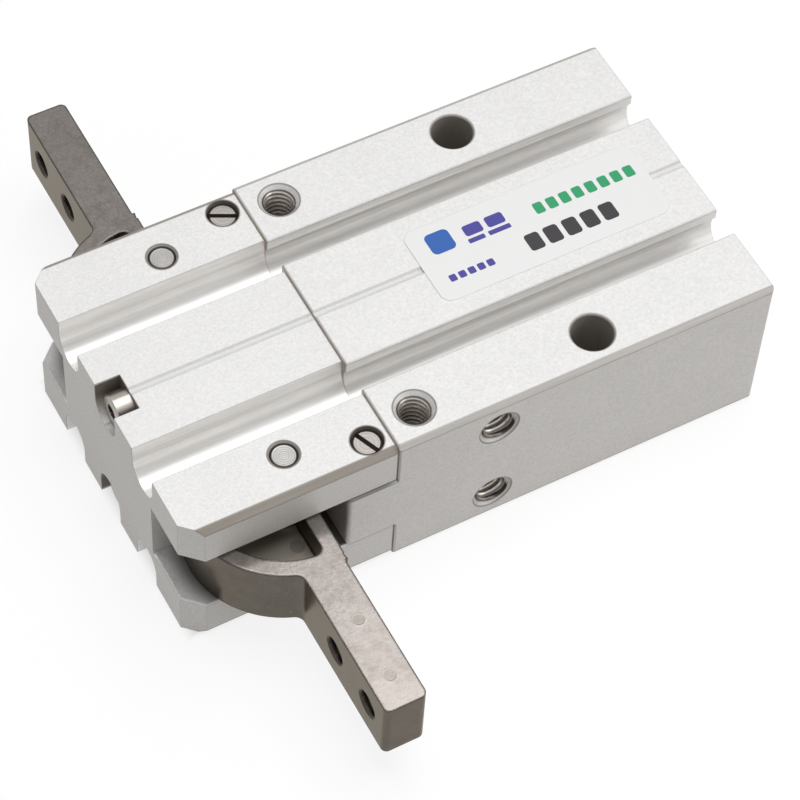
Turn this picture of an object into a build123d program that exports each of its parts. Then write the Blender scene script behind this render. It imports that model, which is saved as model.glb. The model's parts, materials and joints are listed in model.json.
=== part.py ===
"""Pneumatic finger gripper: two levers that swing from straight out to straight ahead.

Millimetres. X runs from the rear cover to the nose, Y across the body and Z up.
The pieces are drawn with the rear face at x = 0, and the last step moves them so that
the origin lies on the underside, below the middle of the gripper.
"""

from build123d import *
from math import asin, cos, degrees, hypot, pi, radians, sin, sqrt
import os

# Outside of the body, with the tongue that the nose slides over
width = 44.4
height = 23.5
body_bevel = 0.57
rear_edge_round = 0.5
front_wall = 12.5
tongue_length = 6.7
tongue_round = 0.6

# Outside of the nose, a little narrower and lower than the body
nose_step_y = 0.2
nose_step_z = 0.25
nose_bevel = 0.78
nose_wall = 2.5
nose_corner_x = 2.45
nose_corner_y = 2.35
pivot_setback = 12.5
plate_thickness = 6.6
plate_inner_bevel = 0.3
seam_bevel = 0.2

# Sensor grooves of the body, their plain run through the nose, and the shallow centre line
sensor_groove_y = 10.43
sensor_groove_r = 2.65
sensor_groove_depth = 3.3
sensor_mouth = 4.05
sensor_lip_bevel = 0.15
nose_groove_y = 10.26
nose_groove_r = 2.7
nose_groove_depth = 5.2
centre_line_width = 1.2
centre_line_floor = 0.3
centre_line_depth = 0.25

# Cylinder, from the rear face forward
bore_r = 8.0
bore_mouth_bevel = 0.5
ring_setback = 1.0
ring_thickness = 1.0
ring_side_play = 0.05
ring_bite = 0.4
ring_band = 1.3
ring_lug_r = 1.7
ring_lug_hole_r = 0.75
ring_lug_inset = 0.57
ring_gap_angle = 50.0
ring_gap_direction = 90.0
cover_length = 7.2
cover_recess_r = 4.6
cover_recess_depth = 4.0
cover_seal_width = 1.9
cover_seal_depth = 1.2
cover_seal_from_front = 1.6
cover_seal_spread = 0.32
rear_bumper_length = 1.6
rear_bumper_wall = 2.0
end_play = 0.2
front_bumper_length = 2.4
front_bumper_r = 6.2
bumper_play = 0.3
press_slack = 0.02

# Piston, its seal, magnet and fastening
piston_length = 6.5
piston_slack = 0.1
lip_slack = 0.03
piston_seal_width = 2.6
piston_seal_depth = 1.9
piston_seal_from_front = 2.4
lip_notch = 0.9
magnet_length = 4.0
magnet_inner_r = 5.4
magnet_slack = 0.25
holder_length = 3.5
holder_floor = 1.1
nut_width = 7.0
nut_height = 2.2
nut_play = 0.3
rod_r = 3.0
rod_slack = 0.03
rod_shoulder_depth = 1.0
rod_rear_stud_r = 2.0
rod_front_stud_r = 2.0
rod_front_stud_length = 5.0
gland_r = 5.0
gland_length = 4.3
gland_play = 0.2
bush_r = 4.2

# Air ways: threaded ports, angled holes and the long way to the rear chamber
port_thread_r = 2.1
port_rim_r = 2.75
port_depth = 5.5
port_height = 7.05
port_inset = 1.35
port_way_r = 0.8
rear_way_r = 1.0
rear_way_y = 12.6
rear_way_z = 3.5
ball_r = 1.25

# Mounting holes
mount_y = 17.65
thread_x = 48.25
mount_spacing = 24.7
mount_thread_r = 2.1
mount_thread_rim_r = 2.65
mount_hole_r = 2.7
mount_rim = 0.25

# Swing drive
pivot_y = 16.4
drive_offset = 6.2
drive_pin_r = 1.5
drive_slack = 0.1
slot_steps = 16
pivot_pin_r = 1.75
pivot_pin_bevel = 0.3
pivot_slack = 0.03
pivot_seat_slack = 0.03
pivot_rim = 0.2
pin_recess = 0.2
bush_wall = 0.65
joint_end_r = 2.5
joint_core_half = 3.4
joint_core_back = 3.6
joint_play = 0.2
layer_play = 0.375
swing_play = 0.4
lever_play = 0.5
nose_play = 1.2

# Fingers, measured from their pivot
finger_play = 0.125
arm_reach = 33.0
arm_back = 1.75
arm_front = 3.75
arm_end_round = 0.8
hub_back = 2.1
hub_wall = 0.85
rim_r = 12.7
rim_width = 2.15
rim_start = -8.0
rib_front = 0.05
pocket_corner = 1.0
arm_root_round = 1.3
deep_pocket = 4.2
shallow_pocket = 2.25
lever_wall = 1.9
arm_hole_r = 1.65
arm_hole_rim_r = 1.95
arm_hole_last = 4.4
arm_hole_spacing = 8.0
tip_play = 0.3

# Fasteners of the nose
cap_screw_r = 1.25
cap_screw_hole_r = 1.35
cap_screw_length = 30.0
cap_head_r = 2.25
cap_head_height = 2.5
cap_head_bevel = 0.2
cap_head_recess = 0.85
cap_key_width = 2.0
cap_key_depth = 1.2
cap_depth = 2.8
cap_pocket_slack = 0.5
set_screw_r = 2.0
set_screw_slack = 0.05
set_screw_from_seam = 2.8
set_screw_y = 19.1
set_screw_length = 10.0
set_screw_recess = 0.5
set_screw_bevel = 0.4
set_slot_width = 0.6
set_slot_depth = 1.1
set_slot_angles = [112.5, 153.0]
ear_play = 0.6

# Label
label_from_rear = 4.65
label_length = 32.85
label_width = 11.85
label_round = 1.6
label_thickness = 0.12

# Places that follow from the sizes above
stroke = 2 * drive_offset
ring_groove_width = ring_thickness + 2 * ring_side_play
cover_rear_x = ring_setback + ring_groove_width
cover_front_x = cover_rear_x + cover_length
piston_stack = piston_length + magnet_length + holder_length
piston_room = stroke + piston_stack + 2 * end_play
bore_end_x = cover_front_x + rear_bumper_length + piston_room + front_bumper_length
piston_front_x = bore_end_x - front_bumper_length - end_play
piston_rear_x = piston_front_x - piston_stack
nut_x = piston_rear_x + holder_length - holder_floor - nut_height
port_x = bore_end_x - port_inset
seam_x = bore_end_x + front_wall
tongue_x = seam_x + tongue_length
pivot_x = seam_x + pivot_setback
swing_r = rim_r + swing_play
nose_x = pivot_x + swing_r + nose_wall
mid_z = height / 2
nose_half_y = width / 2 - nose_step_y
nose_low_z = nose_step_z
nose_high_z = height - nose_step_z
slot_low_z = nose_low_z + plate_thickness
slot_high_z = nose_high_z - plate_thickness
finger_thickness = slot_high_z - slot_low_z - 2 * finger_play
joint_half = (slot_high_z - slot_low_z) / 2 - joint_play
lever_r = drive_pin_r + drive_slack + lever_wall
lever_reach = sqrt(2) * drive_offset
cavity_x = pivot_x - drive_offset - lever_r - lever_play
ear_inner_y = pivot_y - (pivot_x - tongue_x) + sqrt(2) * lever_r + ear_play
web_back_x = pivot_x + drive_offset + joint_end_r + nose_play
web_half = pivot_y - arm_front - tip_play
cap_pocket_x = nose_x - cap_head_recess - cap_head_height
cap_z = nose_high_z - cap_depth
joint_x = pivot_x + drive_offset
joint_back_x = joint_x - joint_core_back
joint_gap_half = finger_thickness / 2 - shallow_pocket + layer_play
set_screw_x = seam_x + set_screw_from_seam


def block(x_span, y_span, z_span):
    """A box given by its two limits along each axis."""
    size = [high - low for low, high in (x_span, y_span, z_span)]
    centre = [(high + low) / 2 for low, high in (x_span, y_span, z_span)]
    return Pos(*centre) * Box(*size)


def bar_x(radius, x_span, y, z):
    """A round bar along X."""
    start, end = x_span
    return Pos((start + end) / 2, y, z) * Rot(0, 90, 0) * Cylinder(radius, end - start)


def bar_z(radius, x, y, z_span):
    """An upright round bar."""
    low, high = z_span
    return Pos(x, y, (low + high) / 2) * Cylinder(radius, high - low)


def between(radius, start, end):
    """A round bar from one point to another."""
    line = Edge.make_line(start, end)
    return extrude(Plane(start, z_dir=line % 0) * Circle(radius), line.length)


def turned(points, axis_z=mid_z):
    """A turned piece: the outline, as (x, radius) points, spun about the line of the bore."""
    outline = make_face(Polyline(*[(x, 0, r) for x, r in points], close=True))
    return Pos(0, 0, axis_z) * revolve(outline, Axis.X)


def pin_outline(start, end, radius, bevel):
    """Outline of a plain pin with both ends bevelled, from its centre line outwards."""
    return [(start, 0), (start, radius - bevel), (start + bevel, radius), (end - bevel, radius),
            (end, radius - bevel), (end, 0)]


def upright(points, x, y):
    """A turned piece that stands on end: its outline's first number is the height."""
    outline = make_face(Polyline(*[(r, 0, z) for z, r in points], close=True))
    return Pos(x, y, 0) * revolve(outline, Axis.Z)


def rimmed_hole_z(radius, rim_r, x, y, z_span):
    """Cutter for an upright through hole whose rim is bevelled at both faces."""
    low, high = z_span
    bevel = rim_r - radius
    points = [(low - 1, 0), (low - 1, rim_r + 1), (low + bevel, radius), (high - bevel, radius),
              (high + 1, rim_r + 1), (high + 1, 0)]
    return upright(points, x, y)


def top_and_bottom(piece):
    """The piece with its copy mirrored to the underside."""
    return [piece, mirror(piece, about=Plane.XY.offset(mid_z))]


def both_sides(piece):
    """The piece with its copy mirrored across the middle."""
    return [piece, mirror(piece, about=Plane.XZ)]


def all_four(piece):
    """The piece copied to the other side and to the underside."""
    return [copy for half in both_sides(piece) for copy in top_and_bottom(half)]


def sensor_groove():
    """Section of one undercut sensor groove: a round channel with a narrower mouth."""
    lip_z = height - sensor_lip_bevel
    channel = Pos(sensor_groove_y, height - sensor_groove_depth) * Circle(sensor_groove_r)
    half = sensor_mouth / 2
    flare = half + sensor_lip_bevel + 1
    mouth = Polyline((-half, height - sensor_groove_depth), (half, height - sensor_groove_depth),
                     (half, lip_z), (flare, height + 1), (-flare, height + 1), (-half, lip_z), close=True)
    return channel + Pos(sensor_groove_y, 0) * make_face(mouth)


def nose_groove():
    """Section of the plain groove that carries a sensor's lead over the nose."""
    centre_z = nose_high_z - nose_groove_depth + nose_groove_r
    channel = Pos(nose_groove_y, centre_z) * Circle(nose_groove_r)
    mouth = Pos(nose_groove_y, centre_z + height / 2) * Rectangle(2 * nose_groove_r, height)
    return channel + mouth


def centre_line(top_z):
    """Section of the shallow line, with sloping sides, along the middle of a top face."""
    floor = centre_line_floor / 2
    run = centre_line_width / 2 - floor
    low_z = top_z - centre_line_depth
    high_z = top_z + centre_line_depth
    points = [(-floor, low_z), (floor, low_z), (floor + 2 * run, high_z), (-floor - 2 * run, high_z)]
    return make_face(Polyline(*points, close=True))


def mirrored_section(shape):
    """A groove's section at all four places where it is cut."""
    right = shape + mirror(shape, about=Plane.YZ)
    return right + mirror(right, about=Plane.XZ.offset(-mid_z))


def outer_section(half_width, half_height, bevel, groove):
    """Section of body or nose: a bevelled rectangle less its grooves and centre lines."""
    outline = Pos(0, mid_z) * Rectangle(2 * half_width, 2 * half_height)
    outline = chamfer(outline.vertices(), bevel)
    line = centre_line(mid_z + half_height)
    lines = line + mirror(line, about=Plane.XZ.offset(-mid_z))
    return outline - mirrored_section(groove) - lines


def cylinder_bore():
    """Cutter for the bore, the retaining ring's groove, the gland and the bush seat."""
    ring_r = bore_r + ring_bite
    gland_end = bore_end_x + gland_length
    return turned([
        (-1, 0), (-1, bore_r + bore_mouth_bevel + 1), (bore_mouth_bevel, bore_r),
        (ring_setback, bore_r), (ring_setback, ring_r), (cover_rear_x, ring_r), (cover_rear_x, bore_r),
        (bore_end_x, bore_r), (bore_end_x, gland_r), (gland_end, gland_r), (gland_end, bush_r),
        (tongue_x + 1, bush_r), (tongue_x + 1, 0)])


def port(side_z):
    """Cutter for a threaded side port with a bevelled rim."""
    bevel = port_rim_r - port_thread_r
    inner = width / 2 - port_depth
    points = [(-width / 2 - 1, 0), (-width / 2 - 1, port_rim_r + 1), (-width / 2 + bevel, port_thread_r),
              (-inner, port_thread_r), (-inner + port_thread_r / 2, 0)]
    outline = make_face(Polyline(*[(r, y, 0) for y, r in points], close=True))
    return Pos(port_x, 0, side_z) * Rot(180, 0, 0) * revolve(outline, Axis.Y)


def air_ways():
    """Cutters for both ports, the way to each chamber and the seat of the sealing ball."""
    port_end_y = width / 2 - port_depth + port_way_r
    way_z = mid_z + rear_way_z
    chamber_x = cover_front_x + port_way_r + end_play
    chamber_y = bore_r - 2 * port_way_r
    chamber_z = mid_z + rear_way_z / 2
    low_z = mid_z - port_height
    high_z = mid_z + port_height
    return [
        port(high_z),
        port(low_z),
        between(port_way_r, (port_x, port_end_y, low_z), (port_x, bore_r - port_way_r, mid_z)),
        between(port_way_r, (port_x, port_end_y, high_z), (port_x, rear_way_y, way_z)),
        between(port_way_r, (chamber_x, rear_way_y, way_z), (chamber_x, chamber_y, chamber_z)),
        bar_x(rear_way_r, (0, port_x + rear_way_r), rear_way_y, way_z),
        bar_x(ball_r, (-1, ball_seat_x()), rear_way_y, way_z)]


def ball_seat_x():
    """Depth of the ledge that the sealing ball is driven against."""
    return ring_setback + ball_r + sqrt(ball_r ** 2 - rear_way_r ** 2)


def nose_fasteners():
    """Cutters for the cap screws' threads and the set screws' threads in the body."""
    screw_end = cap_pocket_x - cap_screw_length - 1
    threads = top_and_bottom(bar_x(cap_screw_r, (screw_end, seam_x + 1), 0, cap_z))
    grips = both_sides(bar_z(set_screw_r, set_screw_x, set_screw_y, (slot_low_z - 1, slot_high_z + 1)))
    return threads + grips


def seam_notches(side_y, top_z):
    """Cutters that bevel a piece's edges where nose and body meet, on top and at the sides."""
    square = Rot(0, 0, 45) * Rectangle(sqrt(2) * seam_bevel, sqrt(2) * seam_bevel)
    across = extrude(Plane((seam_x, -width, top_z), z_dir=(0, 1, 0)) * square, 2 * width)
    upright_notch = extrude(Plane((seam_x, side_y, slot_high_z), z_dir=(0, 0, 1)) * square, height)
    return top_and_bottom(across) + all_four(upright_notch)


def make_tongue():
    """Front end of the body between the nose plates, with an open yard for the levers."""
    tongue = block((seam_x - 1, tongue_x), (-width / 2, width / 2), (slot_low_z, slot_high_z))
    tongue = fillet(tongue.edges().filter_by(Axis.Z).group_by(Axis.X)[-1], tongue_round)
    rims = tongue.faces().filter_by(Plane.XY).edges().filter_by(lambda edge: edge.center().X > seam_x)
    tongue = chamfer(rims, plate_inner_bevel)
    yard = block((cavity_x, tongue_x + 1), (-ear_inner_y, ear_inner_y), (slot_low_z - 1, slot_high_z + 1))
    return tongue - yard


def make_body():
    """Cylinder body with the tongue that the nose slides over."""
    section = outer_section(width / 2, height / 2, body_bevel, sensor_groove())
    profile = extrude(Plane.YZ * section, seam_x)
    rear_edges = profile.edges().filter_by(Axis.Z).group_by(Axis.X)[0]
    outer_rear = [edge for edge in rear_edges if abs(edge.center().Y) > width / 2 - rear_edge_round]
    solid = fillet(outer_rear, rear_edge_round) + make_tongue() - cylinder_bore()
    for cutter in air_ways() + nose_fasteners() + seam_notches(width / 2, height):
        solid -= cutter
    plain_x = thread_x - mount_spacing
    plain_rim_r = mount_hole_r + mount_rim
    for y in (-mount_y, mount_y):
        solid -= rimmed_hole_z(mount_thread_r, mount_thread_rim_r, thread_x, y, (0, height))
        solid -= rimmed_hole_z(mount_hole_r, plain_rim_r, plain_x, y, (0, height))
    return solid


def nose_plan():
    """Plan of the nose plates: a rectangle with its two front corners cut off."""
    half = nose_half_y
    points = [(seam_x, -half), (nose_x - nose_corner_x, -half), (nose_x, -half + nose_corner_y),
              (nose_x, half - nose_corner_y), (nose_x - nose_corner_x, half), (seam_x, half)]
    return make_face(Polyline(*points, close=True))


def web_plan():
    """Plan of the web behind the nose face, hollowed where the rims of the fingers swing."""
    web = Pos((web_back_x + nose_x) / 2, 0) * Rectangle(nose_x - web_back_x, 2 * web_half)
    for side in (-1, 1):
        web -= Pos(pivot_x, side * pivot_y) * Circle(swing_r)
    return web


def cap_screw_pocket():
    """Cutter for one cap screw: a round-bottomed pocket open to the front and a clearance hole."""
    pocket_r = cap_head_r + cap_pocket_slack
    pocket = bar_x(pocket_r, (cap_pocket_x, nose_x + 1), 0, cap_z)
    mouth = block((cap_pocket_x, nose_x + 1), (-pocket_r, pocket_r), (cap_z, height + 1))
    return pocket + mouth + bar_x(cap_screw_hole_r, (seam_x - 1, nose_x), 0, cap_z)


def make_nose():
    """Finger housing: two plates and the web that joins them at the front."""
    half_height = mid_z - nose_low_z
    plate = extrude(nose_plan(), plate_thickness)
    inner_rim = plate.edges().filter_by(Plane.XY).group_by(Axis.Z)[-1]
    web = extrude(web_plan(), half_height)
    lower = Pos(0, 0, nose_low_z) * (chamfer(inner_rim, plate_inner_bevel) + web)
    solid = lower + mirror(lower, about=Plane.XY.offset(mid_z))
    section = outer_section(nose_half_y, half_height, nose_bevel, nose_groove())
    solid &= extrude(Plane.YZ * section, nose_x)
    for cutter in top_and_bottom(cap_screw_pocket()) + seam_notches(nose_half_y, nose_high_z):
        solid -= cutter
    seat_r = pivot_pin_r + pivot_seat_slack
    grip_r = set_screw_r + set_screw_slack
    for side in (-1, 1):
        faces = (nose_low_z, nose_high_z)
        solid -= rimmed_hole_z(seat_r, seat_r + pivot_rim, pivot_x, side * pivot_y, faces)
        solid -= bar_z(grip_r, set_screw_x, side * set_screw_y, (-1, height + 1))
    return solid


def swing_sector(radius, start, end):
    """A pie slice about a finger's pivot, between two angles in degrees from straight ahead."""
    arc = CenterArc((0, 0), radius, start, end - start)
    return make_face([Line((0, 0), arc @ 0), arc, Line(arc @ 1, (0, 0))])


def cam_wall_point(turn):
    """Point of the cam slot's wall where the drive pin bears at this share of the swing.

    The pin runs along X at a constant distance from the pivot, by an amount that keeps step
    with the turn. Seen from the finger it moves out along a thin loop and back, and the wall
    lies one pin radius and the slack outside that loop.
    """
    angle = turn * pi / 2
    along = drive_offset * (1 - 2 * turn)
    glide_x = drive_offset * (1 - 4 / pi)
    reach = (drive_pin_r + drive_slack) / hypot(glide_x, along)
    wall_x = along + reach * along
    wall_y = -drive_offset - reach * glide_x
    return (wall_x * cos(angle) - wall_y * sin(angle), wall_x * sin(angle) + wall_y * cos(angle))


def cam_slot():
    """Plan of the cam slot: the room that the drive pin sweeps in the finger, plus its slack."""
    turns = [step / slot_steps for step in range(slot_steps + 1)]
    wall = Spline(*[cam_wall_point(turn) for turn in turns])
    end = (lever_reach + drive_pin_r + drive_slack) / sqrt(2)
    return make_face([wall, ThreePointArc(wall @ 1, (end, -end), wall @ 0)])


def finger_outline():
    """Plan of the full-height parts of a finger: arm, rim, rib and hub boss."""
    back_angle = 90 + degrees(asin(hub_back / rim_r))
    rim_inner = rim_r - rim_width
    rim = swing_sector(rim_r, rim_start, back_angle) - Circle(rim_inner)
    root = rim_r - rim_width / 2
    rib = Pos(-(rib_front + hub_back) / 2, root / 2) * Rectangle(hub_back - rib_front, root)
    boss = Circle(pivot_pin_r + pivot_slack + bush_wall + hub_wall)
    arm = Rectangle(arm_front + arm_back, arm_reach - root)
    arm = Pos((arm_front - arm_back) / 2, (root + arm_reach) / 2) * arm
    outline = rim + rib + boss + arm
    corners = [((arm_front, arm_reach), arm_end_round), ((-arm_back, arm_reach), arm_end_round),
               ((arm_front, sqrt(rim_r ** 2 - arm_front ** 2)), arm_root_round),
               ((-rib_front, sqrt(rim_inner ** 2 - rib_front ** 2)), pocket_corner)]
    for place, radius in corners:
        outline = fillet(outline.vertices().sort_by_distance((*place, 0))[0], radius)
    return outline


def cam_plate():
    """Plan of the thin plate between the pockets, with the lever that holds the cam slot."""
    middle = lever_reach / 2
    lever = Rot(0, 0, -45) * Pos(middle, 0) * SlotCenterToCenter(lever_reach, 2 * lever_r)
    floor = swing_sector(rim_r - rim_width / 2, -45, 90)
    return lever + floor - cam_slot()


def arm_holes():
    """Cutters for the two threaded holes across a finger's arm."""
    bevel = arm_hole_rim_r - arm_hole_r
    points = [(-arm_back - 1, 0), (-arm_back - 1, arm_hole_rim_r + 1), (-arm_back + bevel, arm_hole_r),
              (arm_front - bevel, arm_hole_r), (arm_front + 1, arm_hole_rim_r + 1), (arm_front + 1, 0)]
    last = arm_reach - arm_hole_last
    return [Pos(0, y, 0) * turned(points, 0) for y in (last, last - arm_hole_spacing)]


def make_finger():
    """One finger about its pivot, arm along +Y, drawn about its own middle height."""
    half = finger_thickness / 2
    solid = Pos(0, 0, -half) * extrude(finger_outline(), finger_thickness)
    plate_low = -half + shallow_pocket
    plate_high = half - deep_pocket
    solid += Pos(0, 0, plate_low) * extrude(cam_plate(), plate_high - plate_low)
    solid -= bar_z(pivot_pin_r + pivot_slack + bush_wall, 0, 0, (-half - 1, half + 1))
    for cutter in arm_holes():
        solid -= cutter
    return solid


def make_bush():
    """Plain bush that lines a finger's hub and turns with it on the pivot pin."""
    inner = pivot_pin_r + pivot_slack
    outer = inner + bush_wall
    half = finger_thickness / 2
    return bar_z(outer, 0, 0, (-half, half)) - bar_z(inner, 0, 0, (-half - 1, half + 1))


def on_pivot(piece, side):
    """A finger's piece set on the left pivot, or turned over about X for the right one."""
    turn = 0 if side > 0 else 180
    return Pos(pivot_x, side * pivot_y, mid_z) * Rot(turn, 0, 0) * piece


def make_pivot_pin(side):
    """Pivot pin held in both plates of the nose."""
    low_z = nose_low_z + pin_recess
    high_z = nose_high_z - pin_recess
    outline = pin_outline(low_z, high_z, pivot_pin_r, pivot_pin_bevel)
    return upright(outline, pivot_x, side * pivot_y)


def make_drive_joint():
    """Joint on the rod's end: two cross plates above and below the levers, with a solid core."""
    cross_half = pivot_y - drive_offset
    plan = Pos(joint_x, 0) * Rot(0, 0, 90) * SlotCenterToCenter(2 * cross_half, 2 * joint_end_r)
    core_length = joint_core_back + joint_end_r
    plan += Pos(joint_back_x + core_length / 2, 0) * Rectangle(core_length, 2 * joint_core_half)
    top_z = mid_z + joint_half
    low_z = mid_z - joint_half
    solid = Pos(0, 0, low_z) * extrude(plan, top_z - low_z)
    window = block((joint_back_x - 1, joint_x + 2 * joint_end_r), (joint_core_half, pivot_y),
                   (mid_z - joint_gap_half, mid_z + joint_gap_half))
    pin_hole = bar_z(drive_pin_r, joint_x, cross_half, (low_z - 1, top_z + 1))
    for cutter in both_sides(window) + both_sides(pin_hole):
        solid -= cutter
    stud_x = (joint_back_x - 1, joint_back_x + rod_front_stud_length)
    return solid - bar_x(rod_front_stud_r, stud_x, 0, mid_z)


def make_drive_pin(side):
    """Hard pin pressed into the joint, running in a finger's cam slot."""
    points = pin_outline(mid_z - joint_half, mid_z + joint_half, drive_pin_r, pivot_pin_bevel)
    return upright(points, joint_x, side * (pivot_y - drive_offset))


def make_piston_rod():
    """Rod with a stud at each end, shouldered against the piston and the joint."""
    bevel = pivot_pin_bevel
    shoulder_x = piston_front_x - rod_shoulder_depth
    tip_x = joint_back_x + rod_front_stud_length
    return turned([
        (nut_x, 0), (nut_x, rod_rear_stud_r - bevel), (nut_x + bevel, rod_rear_stud_r),
        (shoulder_x, rod_rear_stud_r), (shoulder_x, rod_r), (joint_back_x, rod_r),
        (joint_back_x, rod_front_stud_r), (tip_x, rod_front_stud_r), (tip_x, 0)])


def make_piston():
    """Piston with its seal groove, a spigot for the magnet and a recess for the rod's shoulder."""
    outer = bore_r - piston_slack
    back_x = piston_front_x - piston_length
    seal_front = piston_front_x - piston_seal_from_front
    seal_back = seal_front - piston_seal_width
    seal_floor = outer - piston_seal_depth
    spigot_x = back_x - magnet_length
    shoulder_x = piston_front_x - rod_shoulder_depth
    bevel = pivot_pin_bevel
    return turned([
        (spigot_x, rod_rear_stud_r), (spigot_x, magnet_inner_r), (back_x, magnet_inner_r),
        (back_x, outer), (seal_back, outer), (seal_back, seal_floor), (seal_front, seal_floor),
        (seal_front, outer), (piston_front_x - bevel, outer), (piston_front_x, outer - bevel),
        (piston_front_x, rod_r), (shoulder_x, rod_r), (shoulder_x, rod_rear_stud_r)])


def make_piston_seal():
    """Lipped seal in the piston's groove."""
    outer = bore_r - lip_slack
    inner = bore_r - piston_slack - piston_seal_depth
    front_x = piston_front_x - piston_seal_from_front
    back_x = front_x - piston_seal_width
    middle = (outer + inner) / 2
    crown = bore_r - piston_slack
    return turned([
        (back_x, inner), (back_x, crown - lip_notch / 2), (back_x + lip_notch / 2, crown),
        (front_x - lip_notch, crown), (front_x - lip_notch / 2, outer), (front_x, outer),
        (front_x - lip_notch, middle), (front_x, inner)])


def make_magnet():
    """Ring magnet that the sensors in the grooves respond to."""
    back_x = piston_front_x - piston_length - magnet_length
    outer = bore_r - magnet_slack
    return turned([(back_x, magnet_inner_r), (back_x, outer), (back_x + magnet_length, outer),
                   (back_x + magnet_length, magnet_inner_r)])


def make_magnet_holder():
    """Rear disc of the piston: it clamps the magnet and its recess takes the nut."""
    outer = bore_r - piston_slack
    front_x = piston_rear_x + holder_length
    floor_x = front_x - holder_floor
    recess_r = nut_width / sqrt(3) + nut_play
    bevel = pivot_pin_bevel
    return turned([
        (piston_rear_x, recess_r), (piston_rear_x, outer - bevel), (piston_rear_x + bevel, outer),
        (front_x, outer), (front_x, rod_rear_stud_r), (floor_x, rod_rear_stud_r), (floor_x, recess_r)])


def make_piston_nut():
    """Thin hexagon nut that holds the piston on the rod."""
    plan = Plane.YZ * RegularPolygon(nut_width / 2, 6, major_radius=False)
    nut = Pos(nut_x, 0, mid_z) * extrude(plan, nut_height)
    return nut - bar_x(rod_rear_stud_r, (nut_x - 1, nut_x + nut_height + 1), 0, mid_z)


def make_rod_seal():
    """Lipped seal round the rod, in the gland."""
    inner = rod_r + rod_slack
    front_x = bore_end_x + gland_length
    back_x = bore_end_x + gland_play
    middle = (inner + gland_r) / 2
    relief = inner + lip_notch / 2
    return turned([
        (front_x, relief), (front_x, gland_r), (back_x, gland_r), (back_x + lip_notch, middle),
        (back_x, inner), (back_x + lip_notch, inner), (back_x + 2 * lip_notch, relief)])


def make_rod_bush():
    """Plain bearing that guides the rod through the front wall."""
    back_x = bore_end_x + gland_length
    inner = rod_r + rod_slack
    return turned([(back_x, inner), (back_x, bush_r), (cavity_x, bush_r), (cavity_x, inner)])


def make_front_bumper():
    """Soft ring round the rod that stops the piston with the fingers open."""
    back_x = bore_end_x - front_bumper_length
    outer = front_bumper_r
    inner = rod_r + bumper_play
    return turned([(back_x, inner), (back_x, outer), (bore_end_x, outer), (bore_end_x, inner)])


def make_rear_bumper():
    """Soft ring on the rear cover that stops the piston with the fingers closed."""
    front_x = cover_front_x + rear_bumper_length
    outer = front_bumper_r
    inner = outer - rear_bumper_wall
    return turned([(cover_front_x, inner), (cover_front_x, outer), (front_x, outer), (front_x, inner)])


def cover_groove():
    """Limits of the rear cover's seal groove along X."""
    front_x = cover_front_x - cover_seal_from_front
    return front_x - cover_seal_width, front_x


def make_rear_cover():
    """Turned plug that closes the bore, hollowed from behind, with a seal groove."""
    outer = bore_r - press_slack
    groove_back, groove_front = cover_groove()
    bottom = outer - cover_seal_depth
    bevel = pivot_pin_bevel
    recess_x = cover_rear_x + cover_recess_depth
    return turned([
        (recess_x, 0), (recess_x, cover_recess_r), (cover_rear_x, cover_recess_r),
        (cover_rear_x, outer - bevel), (cover_rear_x + bevel, outer), (groove_back, outer),
        (groove_back, bottom), (groove_front, bottom), (groove_front, outer),
        (cover_front_x - bevel, outer), (cover_front_x, outer - bevel), (cover_front_x, 0)])


def make_rear_o_ring():
    """Seal ring squeezed between the rear cover's groove and the bore."""
    groove_back, groove_front = cover_groove()
    inner = bore_r - press_slack - cover_seal_depth
    squeezed = bore_r - inner
    centre = ((groove_back + groove_front) / 2, 0, (inner + bore_r) / 2)
    section = SlotOverall(squeezed + cover_seal_spread, squeezed)
    plane = Plane(centre, x_dir=(1, 0, 0), z_dir=(0, -1, 0))
    return Pos(0, 0, mid_z) * revolve(plane * section, Axis.X)


def make_retaining_ring():
    """Inside snap ring with two eyed lugs, sprung into its groove behind the rear cover."""
    outer = bore_r + ring_bite - ring_side_play
    inner = bore_r - ring_band
    half_gap = ring_gap_angle / 2
    gap = swing_sector(2 * outer, ring_gap_direction - half_gap, ring_gap_direction + half_gap)
    ring = Circle(outer) - Circle(inner) - gap
    lug_angle = half_gap + degrees(asin(ring_lug_r / inner))
    lug_centre = inner - ring_lug_inset
    for side in (-1, 1):
        angle = radians(ring_gap_direction + side * lug_angle)
        place = Pos(lug_centre * cos(angle), lug_centre * sin(angle))
        ring = ring + place * Circle(ring_lug_r) - place * Circle(ring_lug_hole_r)
    start_x = ring_setback + ring_side_play
    return Pos(start_x, 0, mid_z) * extrude(Plane.YZ * ring, ring_thickness)


def make_passage_ball():
    """Steel ball driven into the mouth of the long air way."""
    return Pos(ring_setback + ball_r, rear_way_y, mid_z + rear_way_z) * Sphere(ball_r)


def make_cap_screw():
    """Socket head screw that ties one plate of the nose to the body."""
    head_x = cap_pocket_x + cap_head_height
    tip_x = cap_pocket_x - cap_screw_length
    bevel = cap_head_bevel
    screw = turned([
        (tip_x, 0), (tip_x, cap_screw_r - bevel), (tip_x + bevel, cap_screw_r),
        (cap_pocket_x, cap_screw_r), (cap_pocket_x, cap_head_r), (head_x - bevel, cap_head_r),
        (head_x, cap_head_r - bevel), (head_x, 0)], cap_z)
    key = Plane.YZ * RegularPolygon(cap_key_width / 2, 6, major_radius=False)
    return screw - Pos(head_x - cap_key_depth, 0, cap_z) * extrude(key, cap_key_depth + 1)


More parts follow.
